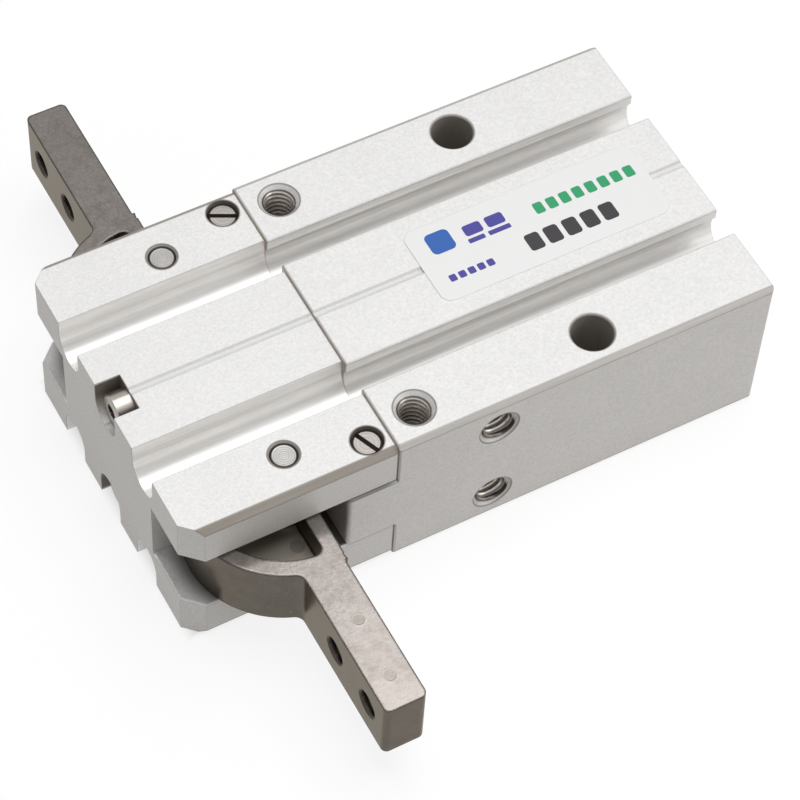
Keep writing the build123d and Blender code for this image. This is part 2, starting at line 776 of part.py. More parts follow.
def make_set_screw(side, slot_angle):
    """Slotted set screw through a plate into the tongue, seen from above."""
    top_z = nose_high_z - set_screw_recess
    low_z = top_z - set_screw_length
    outline = pin_outline(low_z, top_z, set_screw_r, set_screw_bevel)
    screw = upright(outline, set_screw_x, side * set_screw_y)
    slot = Box(3 * set_screw_r, set_slot_width, 2 * set_slot_depth)
    return screw - Pos(set_screw_x, side * set_screw_y, top_z) * Rot(0, 0, slot_angle) * slot


def make_set_screws():
    """The four set screws, two from above and two from below."""
    top = [make_set_screw(side, angle) for side, angle in zip((1, -1), set_slot_angles)]
    return [copy for screw in top for copy in top_and_bottom(screw)]


def make_label():
    """Thin film on the top face between the sensor grooves."""
    plan = RectangleRounded(label_length, label_width, label_round)
    return Pos(label_from_rear + label_length / 2, 0, height) * extrude(plan, label_thickness)


def write(name, pieces):
    """Move a node from the rear face to the origin and write it to its own file."""
    solids = [solid for piece in pieces for solid in piece.solids()]
    placed = [Pos(-nose_x / 2, 0, 0) * solid for solid in solids]
    export_step(placed[0] if len(placed) == 1 else Compound(children=placed), f"parts/{name}.step")


def main():
    """Build every piece and write one file for each node."""
    os.makedirs("parts", exist_ok=True)
    finger = make_finger()
    bush = make_bush()
    nodes = {
        "body": [make_body()],
        "finger_housing": [make_nose()],
        "left_finger": [on_pivot(finger, 1)],
        "right_finger": [on_pivot(finger, -1)],
        "left_pivot_bush": [on_pivot(bush, 1)],
        "right_pivot_bush": [on_pivot(bush, -1)],
        "left_pivot_pin": [make_pivot_pin(1)],
        "right_pivot_pin": [make_pivot_pin(-1)],
        "drive_joint": [make_drive_joint()],
        "left_drive_pin": [make_drive_pin(1)],
        "right_drive_pin": [make_drive_pin(-1)],
        "piston_rod": [make_piston_rod()],
        "piston": [make_piston()],
        "piston_seal": [make_piston_seal()],
        "piston_magnet": [make_magnet()],
        "magnet_holder": [make_magnet_holder()],
        "piston_nut": [make_piston_nut()],
        "rod_seal": [make_rod_seal()],
        "rod_bush": [make_rod_bush()],
        "front_bumper": [make_front_bumper()],
        "rear_bumper": [make_rear_bumper()],
        "rear_cover": [make_rear_cover()],
        "rear_o_ring": [make_rear_o_ring()],
        "retaining_ring": [make_retaining_ring()],
        "passage_ball": [make_passage_ball()],
        "cap_screws": top_and_bottom(make_cap_screw()),
        "set_screws": make_set_screws(),
        "label": [make_label()],
    }
    for name, pieces in nodes.items():
        write(name, pieces)


main()
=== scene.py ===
"""Studio scene of the pneumatic finger gripper: finishes, threads, label, light and camera.

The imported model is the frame: X runs towards the nose, Y across the body and Z up, and the
origin lies on the underside below the middle. Sizes are written in millimetres and turned
into metres where a mesh or a shader is made.
"""

from __future__ import annotations

import json
import logging
from dataclasses import dataclass, field, replace
from enum import Enum
from math import pi, radians
from typing import Callable, Mapping, Sequence, Union

import bmesh
import bpy
import numpy as np
from mathutils import Matrix, Vector

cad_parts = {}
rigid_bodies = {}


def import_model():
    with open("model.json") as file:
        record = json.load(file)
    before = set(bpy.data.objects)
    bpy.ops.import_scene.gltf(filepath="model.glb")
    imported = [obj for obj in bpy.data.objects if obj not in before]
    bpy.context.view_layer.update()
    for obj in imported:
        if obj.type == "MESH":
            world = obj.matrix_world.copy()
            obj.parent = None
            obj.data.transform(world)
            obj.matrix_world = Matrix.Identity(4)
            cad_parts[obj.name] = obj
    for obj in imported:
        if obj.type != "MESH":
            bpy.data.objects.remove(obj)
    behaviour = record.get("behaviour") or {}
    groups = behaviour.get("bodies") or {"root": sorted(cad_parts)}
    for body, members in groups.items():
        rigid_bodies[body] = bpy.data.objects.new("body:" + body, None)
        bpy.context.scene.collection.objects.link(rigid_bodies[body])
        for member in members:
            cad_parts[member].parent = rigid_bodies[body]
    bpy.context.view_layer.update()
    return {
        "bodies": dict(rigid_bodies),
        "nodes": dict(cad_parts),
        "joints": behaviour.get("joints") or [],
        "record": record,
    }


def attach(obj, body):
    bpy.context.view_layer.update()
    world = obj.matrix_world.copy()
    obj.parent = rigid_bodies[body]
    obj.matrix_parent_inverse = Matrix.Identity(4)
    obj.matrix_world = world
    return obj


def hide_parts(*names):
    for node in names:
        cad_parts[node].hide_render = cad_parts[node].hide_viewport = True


Colour = tuple[float, float, float]
Point = tuple[float, float, float]
Pair = tuple[float, float]
Mesh = bpy.types.Mesh
Material = bpy.types.Material
Socket = bpy.types.NodeSocket
Value = Union[float, Sequence[float], "Signal"]

LOG = logging.getLogger("finger_gripper")
CREST_SHARE = "crest_share"
MM = 0.001
LEAST_CORNER = 0.01
MID = 11.75
TOP = 23.5
PIVOT = (24.75, 16.4)
SET_SCREW = (15.05, 19.1)
MOUNT_THREAD = (7.9, 17.65)
MOUNT_HOLE = (-16.8, 17.65)
PORT_X = -1.6
PORT_HEIGHTS = {"upper": 18.8, "lower": 4.7}
SIDES = {"left": 1, "right": -1}


class Axis(Enum):
    """Direction of a hole, as the order in which its own axes become X, Y and Z."""

    X = (2, 0, 1)
    Y = (1, 2, 0)
    Z = (0, 1, 2)

    @property
    def turn(self) -> Point:
        """Rotation of a Mapping node that lays this direction along Z."""
        turns = {Axis.X: (0.0, -pi / 2, 0.0), Axis.Y: (pi / 2, 0.0, 0.0)}
        return turns.get(self, (0.0, 0.0, 0.0))


def metres(size: Union[float, Sequence[float]]) -> Union[float, list[float]]:
    """A length or a point given in millimetres."""
    return (np.array(size) * MM).tolist()


# Meshes


def smooth_step(share: np.ndarray) -> np.ndarray:
    """Eases 0 to 1: three times the square less twice the cube of the clipped share."""
    clipped = np.clip(share, 0.0, 1.0)
    return clipped * clipped * (3.0 - 2.0 * clipped)


def loft(name: str, rings: np.ndarray, crease: float = 35.0) -> Mesh:
    """Closed skin over a stack of rings.

    Corner (i, j) is point j of ring i. A face joins points j and j + 1 of rings i and i + 1,
    with j counted round the ring, and one flat face closes each end of the stack.

    Args:
        name: Name of the mesh.
        rings: Points in millimetres, shaped (rings, points, 3).
        crease: Angle in degrees past which an edge stays sharp.

    Returns:
        The mesh, in metres, with its faces pointing outwards.
    """
    count, sides = rings.shape[:2]
    row = sides * np.arange(count - 1)[:, None]
    here = np.arange(sides)[None, :]
    beside = (here + 1) % sides
    quads = np.stack([row + here, row + beside, row + sides + beside, row + sides + here], -1)
    first = np.arange(sides)[::-1]
    last = np.arange(sides) + sides * (count - 1)
    faces = quads.reshape(-1, 4).tolist() + [first.tolist(), last.tolist()]
    mesh = bpy.data.meshes.new(name)
    mesh.from_pydata((rings.reshape(-1, 3) * MM).tolist(), [], faces)
    work = bmesh.new()
    work.from_mesh(mesh)
    bmesh.ops.recalc_face_normals(work, faces=work.faces)
    work.to_mesh(mesh)
    work.free()
    mesh.polygons.foreach_set("use_smooth", np.ones(len(mesh.polygons), bool))
    mesh.set_sharp_from_angle(angle=radians(crease))
    return mesh


def joined(name: str, meshes: Sequence[Mesh]) -> Mesh:
    """One mesh that holds several closed skins side by side.

    Args:
        name: Name of the mesh.
        meshes: The skins, which are used up.

    Returns:
        The mesh.
    """
    work = bmesh.new()
    for mesh in meshes:
        work.from_mesh(mesh)
        bpy.data.meshes.remove(mesh)
    whole = bpy.data.meshes.new(name)
    work.to_mesh(whole)
    work.free()
    return whole


def rounded_outline(centre: Pair, size: Pair, corner: float, steps: int = 6) -> np.ndarray:
    """Outline of a rectangle with round corners.

    Each corner is a quarter circle about a point one corner radius inside both sides, and
    the straight sides are what is left between the quarters.

    Args:
        centre: Middle of the rectangle, in millimetres.
        size: Its length along X and along Y.
        corner: Radius of the corners.
        steps: Straight pieces in each quarter.

    Returns:
        The points, shaped (4 * (steps + 1), 2), turning left.
    """
    quarter = np.linspace(0.0, pi / 2, steps + 1)
    angle = quarter[None, :] + np.arange(4)[:, None] * pi / 2
    sign = np.array([[1, 1], [-1, 1], [-1, -1], [1, -1]], float)
    inner = sign * (np.array(size) / 2 - corner)
    points = inner[:, None, :] + corner * np.stack([np.cos(angle), np.sin(angle)], -1)
    return points.reshape(-1, 2) + np.array(centre)


def plate(name: str, centre: Pair, size: Pair, corner: float, levels: Sequence[Pair],
          crease: float = 35.0) -> Mesh:
    """A thin flat piece, lofted over its outline at each level.

    Args:
        name: Name of the mesh.
        centre: Middle of the plate along X and Y, in millimetres.
        size: Its length along X and along Y.
        corner: Radius of its corners.
        levels: Heights, lowest first, each with how far the outline is drawn in there.
        crease: Angle in degrees past which an edge stays sharp.

    Returns:
        The mesh.
    """
    rings = []
    for height, inset in levels:
        shrunk = (size[0] - 2 * inset, size[1] - 2 * inset)
        outline = rounded_outline(centre, shrunk, max(corner - inset, LEAST_CORNER))
        rings.append(np.column_stack([outline, np.full(len(outline), height)]))
    return loft(name, np.array(rings), crease)


def put(name: str, mesh: Mesh, body: str, material: Material,
        stands_for: Sequence[str] = ()) -> None:
    """Adds a finished piece to the scene, riding on a body of the frame.

    Args:
        name: Name of the piece.
        mesh: Its mesh, already in place.
        body: Body that it moves with.
        material: Its finish.
        stands_for: Nodes of the model that it is shown instead of.
    """
    piece = bpy.data.objects.new(name, mesh)
    bpy.context.scene.collection.objects.link(piece)
    mesh.materials.append(material)
    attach(piece, body)
    if stands_for:
        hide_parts(*stands_for)
    LOG.info("%s: %d faces on %s", name, len(mesh.polygons), body)


# Shader nodes


def math_method(operation: str) -> Callable[..., Signal]:
    """A method of Signal that adds a Math node.

    Args:
        operation: The node's operation.

    Returns:
        The method, which takes the node's further values.
    """

    def result(self: Signal, *others: Value) -> Signal:
        """What the node gives for this signal and the others."""
        return self.sheet.math(operation, self, *others)

    return result


class Signal:
    """What leaves a node's socket. Arithmetic on it adds a Math node to its sheet."""

    __add__ = math_method("ADD")
    __sub__ = math_method("SUBTRACT")
    __mul__ = math_method("MULTIPLY")
    __truediv__ = math_method("DIVIDE")
    __lt__ = math_method("LESS_THAN")
    __gt__ = math_method("GREATER_THAN")
    __abs__ = math_method("ABSOLUTE")
    or_more = math_method("MAXIMUM")
    times_plus = math_method("MULTIPLY_ADD")

    def __init__(self, sheet: Sheet, socket: Socket) -> None:
        """Keeps the sheet to write on and the socket to read."""
        self.sheet = sheet
        self.socket = socket

    def __rsub__(self, other: float) -> Signal:
        """What a number leaves when this is taken from it."""
        return self.sheet.math("SUBTRACT", other, self)

    def ramp(self, low: Value, high: Value) -> Signal:
        """Share of the way gone from low to high, eased at both ends."""
        inputs = {0: self, 1: low, 2: high}
        return self.sheet.make("MapRange", inputs, interpolation_type="SMOOTHSTEP")


class Sheet:
    """A node tree that is being written, with short calls to add and link its nodes.

    In a finish's material its place is the piece's Object coordinates.
    """

    place: Signal

    def __init__(self, tree: bpy.types.NodeTree) -> None:
        """Starts on an empty tree."""
        self.tree = tree

    @classmethod
    def blank(cls, owner: Union[Material, bpy.types.World]) -> Sheet:
        """The emptied sheet of a material or world.

        Args:
            owner: What the nodes belong to.

        Returns:
            The sheet.
        """
        owner.use_nodes = True
        owner.node_tree.nodes.clear()
        return cls(owner.node_tree)

    def set(self, socket: Socket, value: Value) -> None:
        """Links a socket to a signal, or sets its plain value.

        Args:
            socket: Input of a node on this sheet.
            value: What it gets; a colour is given without its alpha.
        """
        if isinstance(value, Signal):
            self.tree.links.new(value.socket, socket)
        else:
            socket.default_value = (*value, 1.0) if socket.type == "RGBA" else value

    def add(self, kind: str, inputs: Mapping[Union[str, int], Value] = {},
            **settings: object) -> bpy.types.Node:
        """Adds a node.

        Args:
            kind: Blender's type name of the node, without "ShaderNode".
            inputs: Values or signals for its inputs, by name or number.
            **settings: Properties of the node.

        Returns:
            The node.
        """
        node = self.tree.nodes.new("ShaderNode" + kind)
        for key, value in settings.items():
            setattr(node, key, value)
        for key, value in inputs.items():
            self.set(node.inputs[key], value)
        return node

    def make(self, kind: str, inputs: Mapping[Union[str, int], Value] = {},
             output: Union[str, int] = 0, **settings: object) -> Signal:
        """One output of a new node."""
        return Signal(self, self.add(kind, inputs, **settings).outputs[output])

    def math(self, operation: str, *values: Value, clamp: bool = False) -> Signal:
        """Result of a Math node."""
        return self.make("Math", dict(enumerate(values)), operation=operation, use_clamp=clamp)

    def vector(self, operation: str, *values: Value, output: str = "Vector") -> Signal:
        """Result of a Vector Math node."""
        return self.make("VectorMath", dict(enumerate(values)), output, operation=operation)

    def scaled(self, vector: Value, factor: Value) -> Signal:
        """A vector or colour times a number."""
        return self.make("VectorMath", {0: vector, "Scale": factor}, operation="SCALE")

    def mix(self, factor: Value, first: Value, second: Value) -> Signal:
        """Colour between two others."""
        inputs = {0: factor, 6: first, 7: second}
        return self.make("Mix", inputs, 2, data_type="RGBA", clamp_factor=True)

    def noise(self, place: Value, scale: Value, detail: float = 2.0,
              roughness: float = 0.55) -> Signal:
        """Value of a noise texture."""
        inputs = {"Vector": place, "Scale": scale, "Detail": detail, "Roughness": roughness}
        return self.make("TexNoise", inputs)

    def xyz(self, vector: Value) -> list[Signal]:
        """The three parts of a vector."""
        return [Signal(self, part) for part in self.add("SeparateXYZ", {0: vector}).outputs]

    def polar(self, vector: Value) -> tuple[Signal, Signal]:
        """A vector's distance from the Z axis, and its place along that axis."""
        flat = self.vector("MULTIPLY", vector, (1.0, 1.0, 0.0))
        return self.vector("LENGTH", flat, output="Value"), self.xyz(vector)[2]

    def about(self, place: Value, centre: Point, axis: Axis) -> Signal:
        """A place seen from a centre, turned so that the axis lies along Z."""
        middle = self.vector("SUBTRACT", place, metres(centre))
        return self.make("Mapping", {"Vector": middle, "Rotation": axis.turn})


class SocketKind(Enum):
    """Kinds of socket that the shared groups have."""

    NUMBER = "NodeSocketFloat"
    VECTOR = "NodeSocketVector"
    COLOUR = "NodeSocketColor"

    @classmethod
    def of(cls, label: str) -> SocketKind:
        """The kind that a socket's name means: a number, unless it is one of a few."""
        vectors = dict.fromkeys(("place", "centre", "pivot", "normal"), cls.VECTOR)
        return {**vectors, "colour": cls.COLOUR}.get(label, cls.NUMBER)


class Group(Sheet):
    """A shared shader node group, built once and placed with its own values.

    The tuples name its inputs and outputs, and its inputs are attributes while it is
    written. Lengths in it are in metres.
    """

    takes: tuple[str, ...] = ("place",)
    gives: tuple[str, ...] = ("mask",)

    def write(self) -> list[Signal]:
        """Writes the nodes and returns what goes out, in the order of gives."""
        raise NotImplementedError

    @classmethod
    def built(cls) -> bpy.types.NodeTree:
        """The group's node tree, made at its first use.

        Returns:
            The tree, with its sockets named and its nodes linked.
        """
        tree = bpy.data.node_groups.get(cls.__name__)
        if tree is None:
            tree = bpy.data.node_groups.new(cls.__name__, "ShaderNodeTree")
            for direction, labels in (("INPUT", cls.takes), ("OUTPUT", cls.gives)):
                for label in labels:
                    kind = SocketKind.of(label).value
                    tree.interface.new_socket(label, in_out=direction, socket_type=kind)
            entry = tree.nodes.new("NodeGroupInput").outputs
            end = tree.nodes.new("NodeGroupOutput").inputs
            group = cls(tree)
            for label in cls.takes:
                setattr(group, label, Signal(group, entry[label]))
            for label, value in zip(cls.gives, group.write()):
                group.set(end[label], value)
        return tree

    @classmethod
    def on(cls, sheet: Sheet, **values: Value) -> list[Signal]:
        """Places the group on a sheet.

        Args:
            sheet: Sheet of a material or of another group.
            **values: What its inputs get, by name; a place that isn't given is the sheet's.

        Returns:
            Its outputs, in the order of gives.
        """
        if "place" in cls.takes:
            values.setdefault("place", sheet.place)
        node = sheet.add("Group", values, node_tree=cls.built())
        return [Signal(sheet, node.outputs[label]) for label in cls.gives]


class Grain(Group):
    """Fine speckle and slow cloudiness of a blasted, cast or moulded skin."""

    takes = ("place", "colour", "fineness", "contrast", "clouds", "roughness", "spread")
    gives = ("colour", "roughness", "height")
    cloud_share = 0.045

    def write(self) -> list[Signal]:
        """Colour times one plus speckle and clouds; roughness follows the speckle.

        Returns:
            The colour, the roughness and the height.
        """
        fine = self.noise(self.place, self.fineness)
        slow = self.noise(self.place, self.fineness * self.cloud_share, 3.0)
        light = (fine - 0.5) * self.contrast + (slow - 0.5) * self.clouds + 1.0
        return [self.scaled(self.colour, light),
                self.math("ADD", self.roughness, (fine - 0.5) * self.spread, clamp=True), fine]


class BrokenEdge(Group):
    """Softly broken edges, and a mask for the line along them: partly rubbed, partly painted edge
    light and shade.
    """

    takes = ("place", "edge_radius", "wear", "plain")
    gives = ("normal", "mask")
    samples = 6
    turns = (0.012, 0.05)
    patch_scale = 420.0
    patches = (0.1, 0.45)

    def write(self) -> list[Signal]:
        """The mask grows with the angle between the rounded normal and the face's own.

        Where plain is one, the face keeps its own normal and no mask.

        Returns:
            The normal and the mask.
        """
        rounded = self.make("Bevel", {"Radius": self.edge_radius}, samples=self.samples)
        own = self.make("NewGeometry", output="Normal")
        along = self.vector("DOT_PRODUCT", rounded, own, output="Value")
        patchy = self.noise(self.place, self.patch_scale, 3.0).ramp(*self.patches)
        kept = 1.0 - self.plain
        turn = self.scaled(self.vector("SUBTRACT", rounded, own), kept)
        edge_wear_and_shading = (1.0 - along).ramp(*self.turns) * patchy * self.wear
        return [self.vector("ADD", own, turn), edge_wear_and_shading * kept]


class JointLine(Group):
    """Dark line of dirt and shade where the finger housing meets the body."""

    takes = ("place", "seam", "middle", "slot_half", "slot_reach", "flank", "top_line", "side_line")
    fade = (0.7, 1.0)

    def write(self) -> list[Signal]:
        """Near the seam above and below the slot, and along the slot on the flanks ahead of it.

        Returns:
            The line's mask.
        """
        x, y, z = self.xyz(self.place)
        ahead = x - self.seam
        aside = self.flank - abs(y)
        over = abs(z - self.middle) - self.slot_half
        across = abs(ahead).or_more(over * -1.0)
        outside = (ahead - self.slot_reach).or_more(ahead * -1.0).or_more(aside)
        width = (aside < 0.0).times_plus(self.side_line - self.top_line, self.top_line)
        share = self.math("MINIMUM", across, abs(over).or_more(outside)) / width
        return [1.0 - share.ramp(*self.fade)]


class MilledZone(Group):
    """Where the shell shows cutter-bright metal in its grooves, and its long bevels, which carry
    painted shade.
    """

    takes = ("place", "middle", "seam", "end", "groove_y", "groove_half", "groove_top",
             "groove_low", "body_corner", "nose_corner", "border_width")
    gives = ("groove", "bevel", "border", "streaks", "ahead")
    stretch = (60.0, 2600.0, 2600.0)

    def write(self) -> list[Signal]:
        """A groove is a band of Y below the top; a bevel is where |Y| and the rise add up to most.

        Returns:
            Masks of the grooves, the bevels and their borders, the cutter's streaks, and one
            ahead of the seam.
        """
        x, y, z = self.xyz(self.place)
        aside, rise, ahead = abs(y), abs(z - self.middle), x > self.seam
        near = (abs(aside - self.groove_y) < self.groove_half) * (abs(x) < self.end)
        groove = near * ((rise < self.groove_top) * (rise > self.groove_low))
        corner = ahead.times_plus(self.nose_corner - self.body_corner, self.body_corner)
        total = aside + rise
        bevel = total > corner
        streaks = self.noise(self.vector("MULTIPLY", self.place, self.stretch), 1.0)
        return [groove, bevel, (total > corner - self.border_width) - bevel, streaks, ahead]


class FlatShare(Group):
    """How level a face lies: one on tops and undersides, nothing on upright faces."""

    takes = ()
    gives = ("share",)
    slopes = (0.45, 0.8)

    def write(self) -> list[Signal]:
        """Eased from the size of the face's own normal along Z."""
        normal = self.make("NewGeometry", output="True Normal")
        return [abs(self.xyz(normal)[2]).ramp(*self.slopes)]


class CentreLine(Group):
    """The shallow line along the middle: painted shade on its far slope and a painted highlight on
    its floor.
    """

    takes = ("place", "line_half")
    gives = ("dull", "bright")
    dull_band = (-0.95, -0.4)
    bright_bands = ((-0.4, -0.2), (0.85, 0.55))

    def write(self) -> list[Signal]:
        """Both are bands of Y, counted in halves of the line's width.

        Returns:
            Masks of the slope and of the floor.
        """
        share = self.xyz(self.place)[1] / self.line_half
        low, high = self.dull_band
        rise, fall = (share.ramp(*band) for band in self.bright_bands)
        level = FlatShare.on(self)[0]
        return [(share > low) * (share < high) * level, rise * fall * level]


class GreaseFilm(Group):
    """Painted shade on the plates' inner faces, round the pivots."""

    takes = ("place", "pivot", "film_radius", "film_rise", "middle")
    fade = (1.0, 0.8)

    def write(self) -> list[Signal]:
        """It fades with distance from the nearer pivot, and lies below the faces' rise alone.

        Returns:
            The shade's mask.
        """
        x, y, z = self.xyz(self.place)
        folded = self.make("CombineXYZ", {0: x, 1: abs(y)})
        share = self.vector("DISTANCE", folded, self.pivot, output="Value") / self.film_radius
        between = (abs(z - self.middle) < self.film_rise) * FlatShare.on(self)[0]
        return [share.ramp(*self.fade) * between]


class ScrewPocket(Group):
    """Painted shade in the corners of the pockets that the cap screws are let into."""

    takes = ("place", "middle", "pocket_back", "pocket_front", "pocket_half", "pocket_low",
             "pocket_top")
    dark_share = 0.85

    def write(self) -> list[Signal]:
        """A box from the pocket's back to the front face, darker towards the outer faces.

        Returns:
            The corners' mask.
        """
        x, y, z = self.xyz(self.place)
        rise = abs(z - self.middle)
        inside = ((x > self.pocket_back) * (x < self.pocket_front) * (abs(y) < self.pocket_half)
                  * (rise < self.pocket_top))
        return [rise.ramp(self.pocket_low, self.pocket_top * self.dark_share) * inside]


class Folded(Group):
    """A place folded onto the +Y and upper half, so that paired pieces share one pattern."""

    takes = ("place", "middle")
    gives = ("place",)

    def write(self) -> list[Signal]:
        """Y becomes its size, and Z the middle plus its distance from the middle."""
        x, y, z = self.xyz(self.place)
        return [self.make("CombineXYZ", {0: x, 1: abs(y), 2: abs(z - self.middle) + self.middle})]


class OffFace(Group):
    """Where a small turned piece shows its bevel, shank or slot, and not its flat face."""

    takes = ("place", "face_radius", "face_rise")
    fade = (0.97, 1.03)

    def write(self) -> list[Signal]:
        """Further from the axis than the face's radius, or nearer the middle than its rise."""
        distance, along = self.polar(self.place)
        return [(distance / self.face_radius).ramp(*self.fade).or_more(abs(along) < self.face_rise)]


class HoleZone(Group):
    """A drilled hole: masks of its wall and of the line round its mouth, where shade is painted."""

    takes = ("place", "radius", "half_length", "line")
    gives = ("wall", "rim")
    fade = (0.4, 1.0)

    def write(self) -> list[Signal]:
        """Z runs along the hole from the middle of its length; distance from it decides.

        Returns:
            Masks of the wall and of the line.
        """
        distance, along = self.polar(self.place)
        inside = abs(along) < self.half_length
        edge = distance - self.radius
        return [(edge < 0.0) * inside, (1.0 - (abs(edge) / self.line).ramp(*self.fade)) * inside]


class TurningMarks(Group):
    """Fine grooves that a lathe leaves round the place's Z axis."""

    takes = ("place", "pitch")
    gives = ("height",)
    wave_share = 0.4
    drift_scale = 1800.0

    def write(self) -> list[Signal]:
        """Sine of the distance from the axis over the pitch, with a slow drift mixed in.

        Returns:
            The height.
        """
        distance, along = self.polar(self.place)
        turns = (distance + along) / self.pitch * (2 * pi)
        wave = self.math("SINE", turns).times_plus(0.5, 0.5)
        drift = self.noise(self.make("CombineXYZ", {0: distance, 1: along}), self.drift_scale)
        return [wave * self.wave_share + drift * (1.0 - self.wave_share)]


class Scratches(Group):
    """Long thin handling marks: noise drawn out along one direction and cut high."""

    takes = ("place", "scratch_share")
    stretch = (160.0, 3800.0, 3800.0)
    tilt = 0.3
    angles = (0.5, 2.1)
    peak = 0.83
    softness = 0.05

    def write(self) -> list[Signal]:
        """Two drawn-out noises at different angles; a scratch is where one is at its peak.

        Returns:
            The scratches' mask.
        """
        edge = self.peak - self.scratch_share
        found = []
        for angle in self.angles:
            turn = (0.0, self.tilt, angle)
            turned = self.make("Mapping", {"Vector": self.place, "Rotation": turn,
                                           "Scale": self.stretch})
            found.append(self.noise(turned, 1.0, 1.0).ramp(edge, edge + self.softness))
        return [found[0].or_more(found[1])]


class PinMark(Group):
    """Round witness mark of an ejector pin: a shallow disc with a raised rim."""

    takes = ("place", "centre", "radius")
    gives = ("disc", "rim")
    disc_fade = (0.85, 1.0)
    rim_fade = (0.02, 0.22)

    def write(self) -> list[Signal]:
        """Share of the radius from the centre decides both: a disc inside, a rim at one.

        Returns:
            Masks of the disc and of the rim.
        """
        offset = self.vector("SUBTRACT", self.place, self.centre)
        share = self.vector("LENGTH", offset, output="Value") / self.radius
        return [1.0 - share.ramp(*self.disc_fade), 1.0 - abs(share - 1.0).ramp(*self.rim_fade)]


# Finishes


@dataclass(frozen=True)
class Skin:
    """What varies over a surface: its looks, its share of metal and where its edges stay plain."""

    colour: Value
    roughness: Value
    height: Value
    metallic: Value
    plain: Value = 0.0


@dataclass(frozen=True)
class Finish:
    """A skin: its colour, gloss and grain, how its edges are broken, and their line of rubbed metal
    and painted light and shade.
    """

    name: str
    colour: Colour
    metallic: float = 1.0
    roughness: float = 0.4
    spread: float = 0.15
    fineness: float = 4200.0
    contrast: float = 0.2
    clouds: float = 0.06
    relief: float = 0.004
    edge_radius: float = 0.15
    # Edge line: partly rubbed metal, partly painted light and shade of the rounded edge.
    edge_colour: Colour = (0.9, 0.89, 0.87)
    wear: float = 0.5
    grazing_tint: Colour = (1.0, 1.0, 1.0)

    def material(self) -> Material:
        """The finish as a Blender material.

        Returns:
            The new material.
        """
        made = bpy.data.materials.new(self.name)
        sheet = Sheet.blank(made)
        sheet.place = sheet.make("TexCoord", output="Object")
        skin = self.skin(sheet)
        normal, edge_wear_and_shading = BrokenEdge.on(sheet, edge_radius=self.edge_radius * MM, wear=self.wear,
                                     plain=skin.plain)
        bump = sheet.make("Bump", {"Strength": 1.0, "Distance": self.relief * MM,
                                   "Height": skin.height, "Normal": normal})
        # Edge line colour: partly rubbed metal, partly painted light and shade; dark on the shell,
        # cast skins and label, pale on the rest.
        shader = sheet.make("BsdfPrincipled", {
            "Base Color": sheet.mix(edge_wear_and_shading, skin.colour, self.edge_colour), "Metallic": skin.metallic,
            "Roughness": skin.roughness, "Specular Tint": self.grazing_tint, "Normal": bump})
        sheet.add("OutputMaterial", {"Surface": shader})
        return made

    def skin(self, sheet: Sheet) -> Skin:
        """What varies over the surface: here the grain alone.

        Args:
            sheet: Sheet of the material.

        Returns:
            The skin.
        """
        grain = Grain.on(sheet, colour=self.colour, fineness=self.fineness, contrast=self.contrast,
                         clouds=self.clouds, roughness=self.roughness, spread=self.spread)
        return Skin(*grain, self.metallic)

    def zone(self, group: type[Group], sheet: Sheet, **values: Value) -> list[Signal]:
        """Places a group that takes this finish's own sizes by name, and returns its outputs."""
        sizes = {label: metres(getattr(self, label)) for label in group.takes if label != "place"}
        return group.on(sheet, **sizes, **values)


@dataclass(frozen=True)
class DrilledHole:
    """A hole: its middle, its mouth's radius, how strongly its wall is painted, its half length and
    direction.
    """

    centre: Point
    radius: float
    wall_share: float
    wall_colour: Colour = (0.15, 0.125, 0.105)
    half_length: float = 13.0
    axis: Axis = Axis.Z
    rim_colour: Colour = (0.2, 0.175, 0.15)
    rim_share: float = 0.7
    line: float = 0.14

    def draw(self, sheet: Sheet, colour: Value) -> Signal:
        """Paints this hole's wall and mouth over a colour: painted shade, paler in the mount holes
        as painted light.

        Args:
            sheet: Sheet of the material.
            colour: What is there without the hole.

        Returns:
            The colour with the hole.
        """
        wall, rim = HoleZone.on(sheet, place=sheet.about(sheet.place, self.centre, self.axis),
                                radius=self.radius * MM, half_length=self.half_length * MM,
                                line=self.line * MM)
        walled = sheet.mix(wall * self.wall_share, colour, self.wall_colour)
        return sheet.mix(rim * self.rim_share, walled, self.rim_colour)


def hole_pair(place: Pair, *looks: Union[float, Colour]) -> list[DrilledHole]:
    """Two upright holes right through the shell, one on each side of its middle."""
    return [DrilledHole((place[0], side * place[1], MID), *looks) for side in SIDES.values()]


